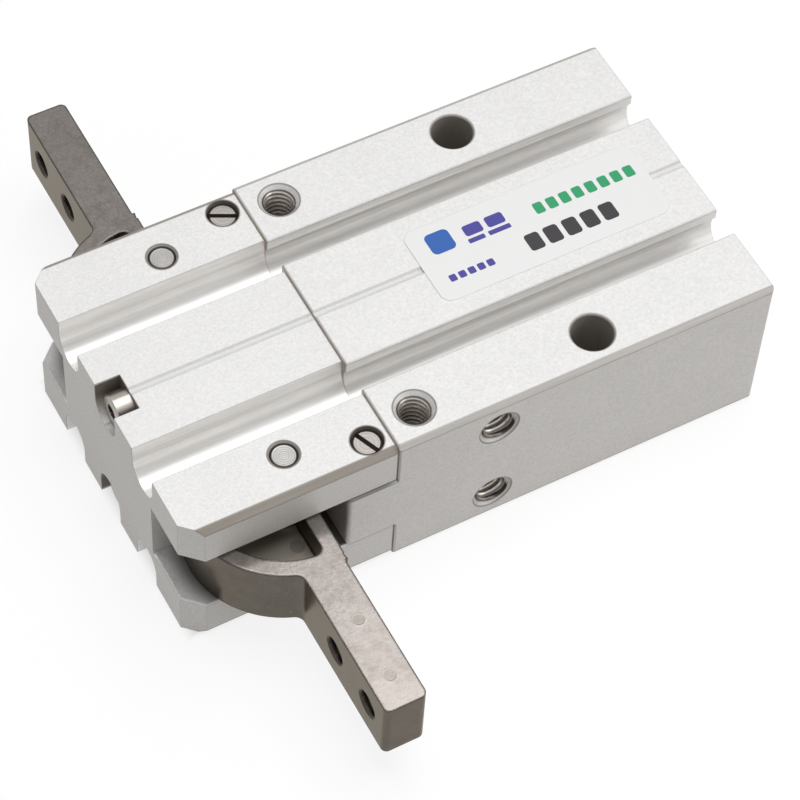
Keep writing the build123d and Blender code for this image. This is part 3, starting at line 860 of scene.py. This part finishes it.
@dataclass(frozen=True)
class ShellFinish(Finish):
    """The blasted and anodised skin of body and nose, cutter-bright in its grooves, with painted
    shade and highlight.
    """

    seam: float = 12.25
    middle: float = MID
    slot_half: float = 4.9
    slot_reach: float = 6.75
    flank: float = 21.5
    top_line: float = 0.14
    side_line: float = 0.07
    line_colour: Colour = (0.55, 0.5, 0.45)
    groove_y: float = 10.4
    groove_half: float = 2.85
    groove_top: float = 11.45
    groove_low: float = 5.0
    end: float = 40.3
    body_corner: float = 33.3
    nose_corner: float = 32.65
    milled_colour: Colour = (0.79, 0.78, 0.765)
    milled_metal: float = 0.74
    milled_gloss: float = 0.14
    # Painted shade: upright faces darker and warmer than level ones.
    upright_tint: Colour = (0.9, 0.877, 0.85)
    streak_shade: float = 0.4
    # Painted shade of the long bevels, body then nose, and of the line at their border.
    bevel_colours: tuple[Colour, Colour] = ((0.58, 0.555, 0.525), (0.37, 0.335, 0.295))
    border_width: float = 0.11
    border_share: float = 0.5
    border_colour: Colour = (0.3, 0.275, 0.25)
    # Painted shade on the centre line's far slope and a painted highlight on its floor.
    line_half: float = 0.6
    dull_share: float = 0.3
    bright_colour: Colour = (0.96, 0.96, 0.95)
    pivot: Point = (*PIVOT, 0.0)
    # Painted shade round the pivots; its dark colour is also the centre line's painted shade.
    film_radius: float = 15.0
    film_rise: float = 5.0
    film_share: float = 0.92
    film_colour: Colour = (0.12, 0.11, 0.097)
    # Painted shade in the screw pockets, darker towards the outer faces.
    pocket_back: float = 36.9
    pocket_front: float = 40.3
    pocket_half: float = 2.85
    pocket_low: float = 5.5
    pocket_top: float = 11.2
    pocket_share: float = 0.93
    pocket_colour: Colour = (0.17, 0.14, 0.105)
    # Painted shade on the walls and mouths of the holes; the plain mount holes' walls are painted
    # paler, as painted light.
    holes: tuple[DrilledHole, ...] = (
        *hole_pair(MOUNT_HOLE, 2.76, 0.9, (0.92, 0.87, 0.79)), *hole_pair(MOUNT_THREAD, 2.65, 0.1),
        *hole_pair(PIVOT, 2.0, 0.6), *hole_pair(SET_SCREW, 2.12, 0.6),
        *(DrilledHole((PORT_X, 19.6, height), 2.75, 0.1, half_length=2.7, axis=Axis.Y)
          for height in PORT_HEIGHTS.values()))

    def skin(self, sheet: Sheet) -> Skin:
        """The grain, with the milled places, the joint's line, the holes and painted shade and
        highlight drawn over it.

        Args:
            sheet: Sheet of the material.

        Returns:
            The skin.
        """
        grain = super().skin(sheet)
        groove, bevel, border, streaks, ahead = self.zone(MilledZone, sheet)
        shade = (streaks - 0.5).times_plus(self.streak_shade, 1.0)
        # Painted shade: upright faces take a darker, warmer colour than level ones.
        shaded_upright = sheet.vector("MULTIPLY", grain.colour, self.upright_tint)
        colour = sheet.mix(FlatShare.on(sheet)[0], shaded_upright, grain.colour)
        colour = sheet.mix(groove, colour, sheet.scaled(self.milled_colour, shade))
        # Painted shade: the long bevels take darker colours, the nose's darkest, with a dark
        # painted line at their border.
        bevel_colour = sheet.scaled(sheet.mix(ahead, *self.bevel_colours), shade)
        colour = sheet.mix(bevel, colour, bevel_colour)
        colour = sheet.mix(border * self.border_share, colour, self.border_colour)
        # Painted shade on the centre line's far slope, and a painted highlight on its floor, which
        # loses its metal.
        dull, bright = self.zone(CentreLine, sheet)
        colour = sheet.mix(dull * self.dull_share, colour, self.film_colour)
        colour = self.grimed(sheet, sheet.mix(bright, colour, self.bright_colour))
        for hole in self.holes:
            colour = hole.draw(sheet, colour)
        metal = groove.times_plus(self.milled_metal - self.metallic, self.metallic)
        metal = bright.times_plus(-self.metallic, metal)
        rough = groove.times_plus(-self.milled_gloss, grain.roughness)
        return Skin(colour, rough, grain.height, metal, groove)

    def grimed(self, sheet: Sheet, colour: Value) -> Value:
        """Draws the joint's dark line, and painted shade at the pivots and screw pockets, over a
        colour.

        Args:
            sheet: Sheet of the material.
            colour: The clean colour.

        Returns:
            The colour with the line and the painted shade.
        """
        for group, share, dark in ((JointLine, 1.0, self.line_colour),
                                   (GreaseFilm, self.film_share, self.film_colour),
                                   (ScrewPocket, self.pocket_share, self.pocket_colour)):
            colour = sheet.mix(self.zone(group, sheet)[0] * share, colour, dark)
        return colour


@dataclass(frozen=True)
class TurnedFinish(Finish):
    """A turned skin, with the tool's rings about the piece's own axis and painted shade round its
    face.
    """

    centre: Point = (0.0, 0.0, MID)
    axis: Axis = Axis.X
    both_sides: bool = False
    pitch: float = 0.16
    ring_shade: float = 0.25
    grain_share: float = 0.3
    face_radius: float = 0.0
    face_rise: float = 0.0
    key_radius: float = 0.0
    key_line: float = 0.1
    key_reach: float = 1000.0
    # Painted shade off the flat face and in the key socket.
    grime: Colour = (0.2, 0.165, 0.14)

    def skin(self, sheet: Sheet) -> Skin:
        """The grain, shaded and raised by the turning marks, with painted shade off the flat face
        and in the key.

        Args:
            sheet: Sheet of the material.

        Returns:
            The skin.
        """
        grain = super().skin(sheet)
        place = Folded.on(sheet, middle=MID * MM)[0] if self.both_sides else sheet.place
        middle = sheet.about(place, self.centre, self.axis)
        rings = self.zone(TurningMarks, sheet, place=middle)[0]
        colour = sheet.scaled(grain.colour, (rings - 0.5).times_plus(self.ring_shade, 1.0))
        # Painted shade on the bevel, shank and slot beside the flat face, and in the key socket.
        if self.face_radius:
            colour = sheet.mix(self.zone(OffFace, sheet, place=middle)[0], colour, self.grime)
        if self.key_radius:
            key = HoleZone.on(sheet, place=middle, radius=self.key_radius * MM,
                              half_length=self.key_reach * MM, line=self.key_line * MM)
            colour = sheet.mix(key[0], colour, self.grime)
        return replace(grain, colour=colour, height=rings + grain.height * self.grain_share)


@dataclass(frozen=True)
class ThreadFinish(Finish):
    """A cut thread: bright along its crests, with painted shade in its roots."""

    root_colour: Colour = (0.12, 0.1, 0.085)
    lit: Pair = (0.25, 0.95)

    def skin(self, sheet: Sheet) -> Skin:
        """The grain, darkened towards the roots as painted shade, by the thread's own share of the
        way up to the crest.

        Args:
            sheet: Sheet of the material.

        Returns:
            The skin.
        """
        grain = super().skin(sheet)
        rise = sheet.make("Attribute", output="Fac", attribute_name=CREST_SHARE)
        # Painted shade: the roots darker than the crests.
        colour = sheet.mix(rise.ramp(*self.lit), self.root_colour, grain.colour)
        return replace(grain, colour=colour)


@dataclass(frozen=True)
class CastFinish(Finish):
    """A cast skin with mottling, handling scratches, the marks of the ejector pins and painted
    shade on its upright faces.
    """

    # Painted shade of the upright faces.
    profile_tint: Colour = (0.4738, 0.4554, 0.4278)
    mottle: float = 0.5
    mottle_scale: float = 520.0
    mottle_detail: float = 5.0
    mottle_roughness: float = 0.65
    mottle_band: Pair = (0.42, 0.72)
    mottle_colour: Colour = (0.15, 0.14, 0.12)
    scratch_colour: Colour = (0.62, 0.58, 0.55)
    scratch_share: float = 0.05
    scratch_shine: float = 0.3
    scratch_depth: float = 0.2
    marks: tuple[tuple[Point, float], ...] = ()
    mark_colour: Colour = (0.13, 0.125, 0.1)
    mark_shade: float = 0.35
    mark_rim: float = 0.45
    mark_depth: float = 0.3
    floor_height: float = 0.0
    floor_colour: Colour = (0.74, 0.685, 0.58)
    floor_metal: float = 0.45
    floor_share: float = 0.9
    floor_reach: float = 0.1
    holes: tuple[DrilledHole, ...] = ()

    def skin(self, sheet: Sheet) -> Skin:
        """The grain mottled and scratched, with painted shade on upright faces, and the floor, pin
        marks and holes let into it.

        Args:
            sheet: Sheet of the material.

        Returns:
            The skin.
        """
        grain = super().skin(sheet)
        level = FlatShare.on(sheet)[0]
        # Painted shade: upright faces darker than level ones.
        shaded_side = sheet.vector("MULTIPLY", grain.colour, self.profile_tint)
        blotches = sheet.noise(sheet.place, self.mottle_scale, self.mottle_detail,
                               self.mottle_roughness).ramp(*self.mottle_band)
        colour = sheet.mix(level, shaded_side, grain.colour)
        colour = sheet.mix(blotches * self.mottle, colour, self.mottle_colour)
        scratch = Scratches.on(sheet, scratch_share=self.scratch_share)[0]
        colour = sheet.mix(scratch * self.scratch_shine, colour, self.scratch_colour)
        height = grain.height - scratch * self.scratch_depth
        metal = self.metallic
        if self.floor_height:
            on_floor = sheet.math("COMPARE", sheet.xyz(sheet.place)[2], self.floor_height * MM,
                                  self.floor_reach * MM)
            floor = on_floor * level * self.floor_share
            colour = sheet.mix(floor, colour, self.floor_colour)
            metal = floor.times_plus(self.floor_metal - self.metallic, self.metallic)
        for centre, radius in self.marks:
            disc, rim = PinMark.on(sheet, centre=metres(centre), radius=radius * MM)
            colour = sheet.mix(disc * self.mark_shade, colour, self.mark_colour)
            height = height + (rim * self.mark_rim - disc * self.mark_depth)
        for hole in self.holes:
            colour = hole.draw(sheet, colour)
        return Skin(colour, grain.roughness, height, metal)


@dataclass(frozen=True)
class SoftFinish(Finish):
    """Rubber, film or ink: no metal in it."""

    metallic: float = 0.0


ANODISED = ShellFinish("anodised_blasted", (0.837, 0.832, 0.825), metallic=0.34, roughness=0.58,
                       fineness=3000.0, contrast=0.38, clouds=0.07, relief=0.005,
                       edge_radius=0.14, edge_colour=(0.3, 0.275, 0.25),
                       grazing_tint=(0.9, 0.895, 0.88))
TAPPED = ThreadFinish("tapped_thread", (0.86, 0.81, 0.75), metallic=0.75, roughness=0.3,
                      contrast=0.12, relief=0.001, edge_radius=0.03, wear=0.0)
TAPPED_STEEL = replace(TAPPED, name="tapped_steel", colour=(0.3, 0.28, 0.26), roughness=0.38,
                       root_colour=(0.03, 0.025, 0.02))
CAST = CastFinish("cast_steel_skin", (0.259, 0.235, 0.221), metallic=0.88, roughness=0.22,
                  fineness=2800.0, contrast=0.5, clouds=0.3, relief=0.0075, edge_radius=0.42,
                  edge_colour=(0.045, 0.036, 0.03), wear=0.95, scratch_share=0.08,
                  grazing_tint=(0.75, 0.71, 0.64))
GROUND_PIN = TurnedFinish("ground_pin", (0.4, 0.39, 0.38), metallic=0.8, roughness=0.34,
                          edge_radius=0.05, relief=0.022, axis=Axis.Z, both_sides=True,
                          centre=(*PIVOT, MID), pitch=0.3, ring_shade=0.4, face_radius=1.5,
                          wear=0.0)
STUD_STEEL = replace(GROUND_PIN, name="slotted_stud", colour=(0.36, 0.34, 0.325), roughness=0.4,
                     relief=0.006, centre=(*SET_SCREW, MID), pitch=0.5, face_radius=1.62,
                     face_rise=10.85, contrast=0.35, clouds=0.4)
CAP_STEEL = TurnedFinish("cap_screw_steel", (0.45, 0.415, 0.38), metallic=0.95, roughness=0.36,
                         edge_radius=0.1, both_sides=True, centre=(0.0, 0.0, 20.45), pitch=0.3,
                         ring_shade=0.15, key_radius=1.08, edge_colour=(0.8, 0.78, 0.75))
TURNED_ALUMINIUM = TurnedFinish("turned_aluminium", (0.74, 0.74, 0.74), metallic=0.85,
                                roughness=0.32, edge_radius=0.1)
ROD_STEEL = TurnedFinish("ground_rod", (0.62, 0.61, 0.6), metallic=0.95, roughness=0.22,
                         edge_radius=0.08, pitch=0.1, ring_shade=0.12)
STAINLESS = TurnedFinish("stainless_nut", (0.66, 0.63, 0.59), roughness=0.22, edge_radius=0.12,
                         pitch=0.12, ring_shade=0.15)
JOINT_STEEL = CastFinish("drive_joint_steel", (0.3, 0.29, 0.28), metallic=0.8, contrast=0.35,
                         clouds=0.2)
SPRING = Finish("spring_steel", (0.13, 0.13, 0.14), metallic=0.85, roughness=0.38, contrast=0.3,
                edge_colour=(0.4, 0.4, 0.42))
BRONZE = Finish("sintered_bronze", (0.55, 0.38, 0.2), metallic=0.9, roughness=0.5, contrast=0.45,
                clouds=0.15, edge_colour=(0.75, 0.6, 0.38))
SEAL = SoftFinish("seal_rubber", (0.025, 0.025, 0.027), roughness=0.55, contrast=0.3,
                  edge_colour=(0.07, 0.07, 0.07), wear=0.3)
BUMPER = SoftFinish("bumper_rubber", (0.5, 0.33, 0.1), roughness=0.45, contrast=0.12, clouds=0.1,
                    edge_colour=(0.62, 0.45, 0.18), wear=0.3)
MAGNET = SoftFinish("bonded_magnet", (0.1, 0.095, 0.095), roughness=0.5, contrast=0.35,
                    edge_colour=(0.2, 0.2, 0.2))
FILM = SoftFinish("label_film", (0.915, 0.915, 0.91), metallic=0.2, roughness=0.55, contrast=0.015,
                  clouds=0.015, relief=0.001, edge_radius=0.05, edge_colour=(0.65, 0.65, 0.65),
                  wear=0.4)
INK = SoftFinish("ink", (0.0, 0.0, 0.0), roughness=0.35, contrast=0.06, clouds=0.05, relief=0.0005,
                 edge_radius=0.01, wear=0.0)


class Ink(Enum):
    """Colours printed on the label."""

    BLUE = (0.02, 0.14, 0.55)
    INDIGO = (0.07, 0.06, 0.4)
    GREEN = (0.02, 0.42, 0.17)
    BLACK = (0.025, 0.02, 0.025)

    @property
    def finish(self) -> SoftFinish:
        """The ink's finish."""
        return replace(INK, name=f"ink_{self.name.lower()}", colour=self.value,
                       edge_colour=self.value)


# Sub-assemblies


class Dresser:
    """Gives the model's nodes their finishes, each made once."""

    def __init__(self, frame: Mapping[str, object]) -> None:
        """Keeps the frame's nodes."""
        self.nodes = frame["nodes"]
        self.made: dict[str, Material] = {}

    def material(self, finish: Finish) -> Material:
        """The finish's material, made at its first use.

        Args:
            finish: The finish.

        Returns:
            Its material.
        """
        if finish.name not in self.made:
            self.made[finish.name] = finish.material()
        return self.made[finish.name]

    def dress_all(self, finishes: Mapping[Finish, str]) -> None:
        """Puts each finish on its nodes.

        Args:
            finishes: Names of the nodes, with spaces between them, by finish.
        """
        for finish, names in finishes.items():
            for name in names.split():
                materials = self.nodes[name].data.materials
                materials.clear()
                materials.append(self.material(finish))
                LOG.info("%s: %s", name, finish.name)


@dataclass
class Thread:
    """Helical ridge that stands on the wall of a drilled hole."""

    name: str
    start: Point
    axis: Axis
    length: float
    wall: float = 2.1
    crest: float = 1.82
    pitch: float = 0.8
    sunk: float = 0.03
    turn_steps: int = 44

    def mesh(self) -> Mesh:
        """The ridge.

        Its centre line climbs one pitch a turn. Its section is a ridge with sloping flanks
        whose foot lies just inside the wall, and its height fades to nothing over the first
        and the last half turn.

        Returns:
            The mesh, in place.
        """
        turns = self.length / self.pitch
        angle = np.linspace(0.0, 2 * pi * turns, int(turns * self.turn_steps) + 1)
        fade = smooth_step(np.minimum(angle, angle[-1] - angle) / pi)
        rise = np.array([0.0, 0.0, 0.12, 0.8, 0.97, 1.0, 0.97, 0.8, 0.12, 0.0])
        along = np.array([0.0, -0.48, -0.44, -0.16, -0.07, 0.0, 0.07, 0.16, 0.44, 0.48])
        foot = self.wall + self.sunk
        share = fade[:, None] * rise[None, :]
        radius = foot - share * (foot - self.crest)
        radius[:, 0] = foot + self.sunk
        climb = (angle / (2 * pi) * self.pitch)[:, None] + (along * self.pitch)[None, :]
        parts = [np.cos(angle)[:, None] * radius, np.sin(angle)[:, None] * radius, climb]
        rings = np.stack(parts, -1)[..., list(self.axis.value)]
        mesh = loft(self.name, rings + np.array(self.start), crease=70.0)
        crest = mesh.attributes.new(CREST_SHARE, "FLOAT", "POINT")
        crest.data.foreach_set("value", share.ravel().astype(np.float32))
        return mesh


@dataclass
class Housing:
    """Body, finger housing and what is fixed to them, with their screw threads."""

    port_wall: float = 22.2
    port_depth: float = 4.6
    rim_depth: float = 0.4
    finishes: dict[Finish, str] = field(default_factory=lambda: {
        ANODISED: "body finger_housing", TURNED_ALUMINIUM: "rear_cover", SPRING: "retaining_ring",
        SEAL: "rear_o_ring rod_seal", BRONZE: "rod_bush", BUMPER: "front_bumper rear_bumper",
        CAP_STEEL: "cap_screws", STUD_STEEL: "set_screws", ROD_STEEL: "passage_ball"})

    def build(self, dresser: Dresser) -> None:
        """Dresses the fixed nodes and adds the threads of the mounting holes and ports.

        Args:
            dresser: Holder of the nodes and materials.
        """
        dresser.dress_all(self.finishes)
        x, y = MOUNT_THREAD
        port_start = self.port_wall - self.rim_depth - self.port_depth
        threads = [Thread(f"{label}_mount_thread", (x, side * y, self.rim_depth), Axis.Z,
                          TOP - 2 * self.rim_depth) for label, side in SIDES.items()]
        threads += [Thread(f"{label}_port_thread", (PORT_X, port_start, height), Axis.Y,
                           self.port_depth) for label, height in PORT_HEIGHTS.items()]
        for thread in threads:
            put(thread.name, thread.mesh(), "housing", dresser.material(TAPPED))


@dataclass
class PistonGroup:
    """Piston, rod and drive joint, which slide together."""

    finishes: dict[Finish, str] = field(default_factory=lambda: {
        TURNED_ALUMINIUM: "piston magnet_holder", SEAL: "piston_seal", MAGNET: "piston_magnet",
        STAINLESS: "piston_nut", ROD_STEEL: "piston_rod left_drive_pin right_drive_pin",
        JOINT_STEEL: "drive_joint"})

    def build(self, dresser: Dresser) -> None:
        """Dresses the sliding nodes."""
        dresser.dress_all(self.finishes)


@dataclass
class Lever:
    """One finger with its bush and pivot pin; the right one is the left one turned over."""

    label: str
    hole_y: Pair = (37.0, 45.0)
    half_thickness: float = 4.775
    floor_rise: float = 0.575
    arm_back: float = 1.75
    arm_front: float = 3.75
    arm_rim: float = 0.45
    hole_radius: float = 1.9
    hole_spare: float = 0.1
    # Painted shade on the walls and mouths of the finger's holes.
    hole_shade: float = 0.75
    hole_wall: Colour = (0.05, 0.042, 0.035)
    hole_rim: Colour = (0.06, 0.05, 0.04)
    hole_line: float = 0.1
    marks: tuple[Point, ...] = ((25.45, 36.9, 0.8), (25.75, 45.1, 0.85))
    floor_mark: Point = (25.96, 22.48, 1.0)

    @property
    def side(self) -> int:
        """One on the side of +Y, and minus one on the other."""
        return SIDES[self.label]

    def placed(self, mark: Point, rise: float) -> tuple[Point, float]:
        """Centre and radius of a mark that is given as its X, its Y at the left and its radius."""
        return (mark[0], self.side * mark[1], MID + self.side * rise), mark[2]

    def skin(self) -> CastFinish:
        """The cast skin with this finger's own pin marks and holes.

        Returns:
            The finish.
        """
        marks = [self.placed(mark, self.half_thickness) for mark in self.marks]
        middle_x = PIVOT[0] + (self.arm_front - self.arm_back) / 2
        half = (self.arm_front + self.arm_back) / 2 + self.hole_spare
        # Painted shade on the walls and mouths of the finger's threaded holes.
        holes = [DrilledHole((middle_x, self.side * y, MID), self.hole_radius, self.hole_shade,
                             self.hole_wall, half, Axis.X, self.hole_rim, line=self.hole_line)
                 for y in self.hole_y]
        return replace(CAST, name=f"{self.label}_cast_skin", holes=tuple(holes),
                       marks=(*marks, self.placed(self.floor_mark, self.floor_rise)),
                       floor_height=MID + self.side * self.floor_rise)

    def build(self, dresser: Dresser) -> None:
        """Dresses the finger, its bush and pin, and adds the threads of its two holes.

        Args:
            dresser: Holder of the nodes and materials.
        """
        dresser.dress_all({self.skin(): f"{self.label}_finger", BRONZE: f"{self.label}_pivot_bush",
                           GROUND_PIN: f"{self.label}_pivot_pin"})
        start_x = PIVOT[0] - self.arm_back + self.arm_rim
        length = self.arm_back + self.arm_front - 2 * self.arm_rim
        for number, y in enumerate(self.hole_y, start=1):
            thread = Thread(f"{self.label}_finger_thread_{number}", (start_x, self.side * y, MID),
                            Axis.X, length, wall=1.65, crest=1.42, pitch=0.7)
            put(thread.name, thread.mesh(), f"{self.label}_lever",
                dresser.material(TAPPED_STEEL))


@dataclass
class Label:
    """Satin film on the top face, with plain fields of colour printed on it."""

    centre: Pair = (-19.275, 0.0)
    size: Pair = (32.85, 11.85)
    corner: float = 1.6
    film: float = 0.1
    film_bevel: Pair = (0.03, 0.05)
    print_height: float = 0.012
    print_sunk: float = 0.02
    field_corner: float = 0.22

    def fields(self) -> dict[Ink, list[tuple[Pair, Pair]]]:
        """Printed fields by ink: middle along X and Y, then length and width.

        Returns:
            The fields of each ink.
        """
        words = [((-11.45, -2.75), (2.5, 1.7)), ((-14.6, -2.75), (2.5, 1.7)),
                 ((-11.2, -1.15), (2.3, 0.7)), ((-14.45, -1.15), (3.1, 0.7))]
        small = [((-5.6 - 1.33 * number, 2.85), (0.95, 1.05)) for number in range(5)]
        green = [((-20.5 - 1.87 * number, -1.9), (1.3, 1.75)) for number in range(8)]
        black = [((-17.4 - 2.66 * number, 2.45), (2.0, 2.65)) for number in range(5)]
        return {Ink.BLUE: [((-6.85, -2.75), (3.3, 3.3))], Ink.INDIGO: words + small,
                Ink.GREEN: green, Ink.BLACK: black}

    def build(self, dresser: Dresser) -> None:
        """Lays the film in place of the model's, and prints on it with thin plates sunk into it.

        Args:
            dresser: Holder of the nodes and materials.
        """
        top = TOP + self.film
        drop, inset = self.film_bevel
        levels = [(TOP, 0.0), (top - drop, 0.0), (top, inset)]
        film = plate("label_film_piece", self.centre, self.size, self.corner, levels, crease=15.0)
        put("label_film_piece", film, "housing", dresser.material(FILM), ["label"])
        levels = [(top - self.print_sunk, 0.0), (top + self.print_height, 0.0)]
        for ink, places in self.fields().items():
            name = f"label_print_{ink.name.lower()}"
            skins = [plate(f"field_{index}", centre, size, self.field_corner * min(size), levels)
                     for index, (centre, size) in enumerate(places)]
            put(name, joined(name, skins), "housing", dresser.material(ink.finish))


# Studio


@dataclass
class Studio:
    """Pale floor, soft light and the camera at the photograph's place."""

    eye: Point = (120.061, 196.527, 328.829)
    rows: tuple[Point, Point, Point] = (
        (-0.8787245891, 0.4757766112, 0.0384670340),
        (0.3720623721, 0.7331930250, -0.5692078525),
        (-0.2990195441, -0.4858648004, -0.8212933142))
    lens: float = 140.06
    sensor: float = 36.0
    clip: Pair = (0.02, 20.0)
    floor_half: float = 4.0
    floor_colour: Colour = (0.55, 0.55, 0.55)
    floor_glow: float = 0.84
    floor_matt: Colour = (0.22, 0.22, 0.22)
    # Painted shadow: the floor's glow dims inside the gripper's footprint.
    contact: Pair = (41.0, 22.0)
    contact_fade: Pair = (0.86, 1.0)
    contact_glow: Colour = (0.05, 0.05, 0.05)
    sky_light: float = 0.21
    sky_seen: float = 0.8
    white: Colour = (1.0, 1.0, 1.0)
    lamps: tuple[tuple[str, Point, float, float], ...] = (
        ("overhead_light", (-126.0, -31.0, 873.0), 700.0, 4.55),
        ("side_light", (-520.0, 480.0, 260.0), 400.0, 0.95))

    def build(self) -> None:
        """Makes the camera, the lamps, the sky and the floor."""
        self.camera()
        for name, place, side, power in self.lamps:
            self.lamp(name, place, side, power)
        self.sky()
        self.floor()
        bpy.context.scene.view_settings.view_transform = "Standard"

    def added(self, name: str, data: bpy.types.ID, place: Matrix = Matrix()) -> bpy.types.Object:
        """A new object of the scene.

        Args:
            name: Name of the object.
            data: Its camera, lamp or mesh.
            place: Where it stands and how it is turned.

        Returns:
            The object.
        """
        thing = bpy.data.objects.new(name, data)
        thing.matrix_world = place
        bpy.context.scene.collection.objects.link(thing)
        return thing

    def camera(self) -> None:
        """The camera: its axes are the picture's right, up and towards the viewer."""
        data = bpy.data.cameras.new("camera")
        data.lens = self.lens
        data.sensor_width = self.sensor
        data.clip_start, data.clip_end = self.clip
        right, down, forward = (Vector(row) for row in self.rows)
        turn = Matrix((right, -down, -forward)).transposed().to_4x4()
        place = Matrix.Translation(Vector(self.eye) * MM) @ turn
        bpy.context.scene.camera = self.added("camera", data, place)

    def lamp(self, name: str, place: Point, side: float, power: float) -> None:
        """A square soft light aimed at the middle of the gripper.

        Args:
            name: Name of the lamp.
            place: Its place, in millimetres.
            side: Length of its side, in millimetres.
            power: Its power in watts.
        """
        data = bpy.data.lights.new(name, "AREA")
        data.size = side * MM
        data.energy = power
        spot = Vector(place) * MM
        aim = Vector((0.0, 0.0, MID * MM)) - spot
        turn = aim.to_track_quat("-Z", "Y").to_matrix().to_4x4()
        self.added(name, data, Matrix.Translation(spot) @ turn)

    def backed(self, sheet: Sheet, light: Signal, seen: Signal) -> Signal:
        """A shader that differs for rays that show a background.

        Args:
            sheet: Sheet to write on.
            light: Shader for rays that only light something.
            seen: Shader for straight and mirrored rays and those through glass.

        Returns:
            The mixed shader.
        """
        rays = [sheet.make("LightPath", output=f"Is {kind} Ray") for kind in
                ("Camera", "Glossy", "Transmission")]
        share = rays[0].or_more(rays[1]).or_more(rays[2])
        return sheet.make("MixShader", {0: share, 1: light, 2: seen})

    def sky(self) -> None:
        """Even light from all round, seen as a pale backdrop."""
        world = bpy.data.worlds.new("sky")
        sheet = Sheet.blank(world)
        light, seen = (sheet.make("Background", {"Color": self.white, "Strength": strength})
                       for strength in (self.sky_light, self.sky_seen))
        sheet.add("OutputWorld", {"Surface": self.backed(sheet, light, seen)})
        bpy.context.scene.world = world

    def floor(self) -> None:
        """Flat pale floor whose white is its own, under the shadow that the gripper casts, and a
        painted shadow under its footprint.
        """
        half = self.floor_half
        mesh = bpy.data.meshes.new("studio_floor")
        corners = [(-half, -half, 0.0), (half, -half, 0.0), (half, half, 0.0), (-half, half, 0.0)]
        mesh.from_pydata(corners, [], [(0, 1, 2, 3)])
        material = bpy.data.materials.new("studio_floor")
        sheet = Sheet.blank(material)
        x, y, _ = sheet.xyz(sheet.make("TexCoord", output="Object"))
        # Painted shadow: the glow dims inside the gripper's footprint.
        reach = [abs(value) / (size * MM) for value, size in zip((x, y), self.contact)]
        open_floor = reach[0].or_more(reach[1]).ramp(*self.contact_fade)
        matt, soft = (sheet.make("BsdfDiffuse", {"Color": colour})
                      for colour in (self.floor_colour, self.floor_matt))
        shade = sheet.mix(open_floor, self.contact_glow, self.white)
        glow = sheet.make("Emission", {"Color": shade, "Strength": self.floor_glow})
        white = sheet.make("AddShader", {0: glow, 1: soft})
        sheet.add("OutputMaterial", {"Surface": self.backed(sheet, matt, white)})
        mesh.materials.append(material)
        self.added("studio_floor", mesh)


def corners(box: tuple[Vector, Vector]) -> list[list[float]]:
    """A box's two corners as plain lists."""
    return [[float(value) for value in corner] for corner in box]


def main() -> None:
    """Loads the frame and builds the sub-assemblies in order."""
    logging.basicConfig(level=logging.INFO, format="%(name)s: %(message)s")
    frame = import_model()
    dresser = Dresser(frame)
    for part in (Housing(), PistonGroup(), Lever("left"), Lever("right"), Label()):
        part.build(dresser)
        LOG.info("%s is built", type(part).__name__)
    Studio().build()


if __name__ == "__main__":
    main()
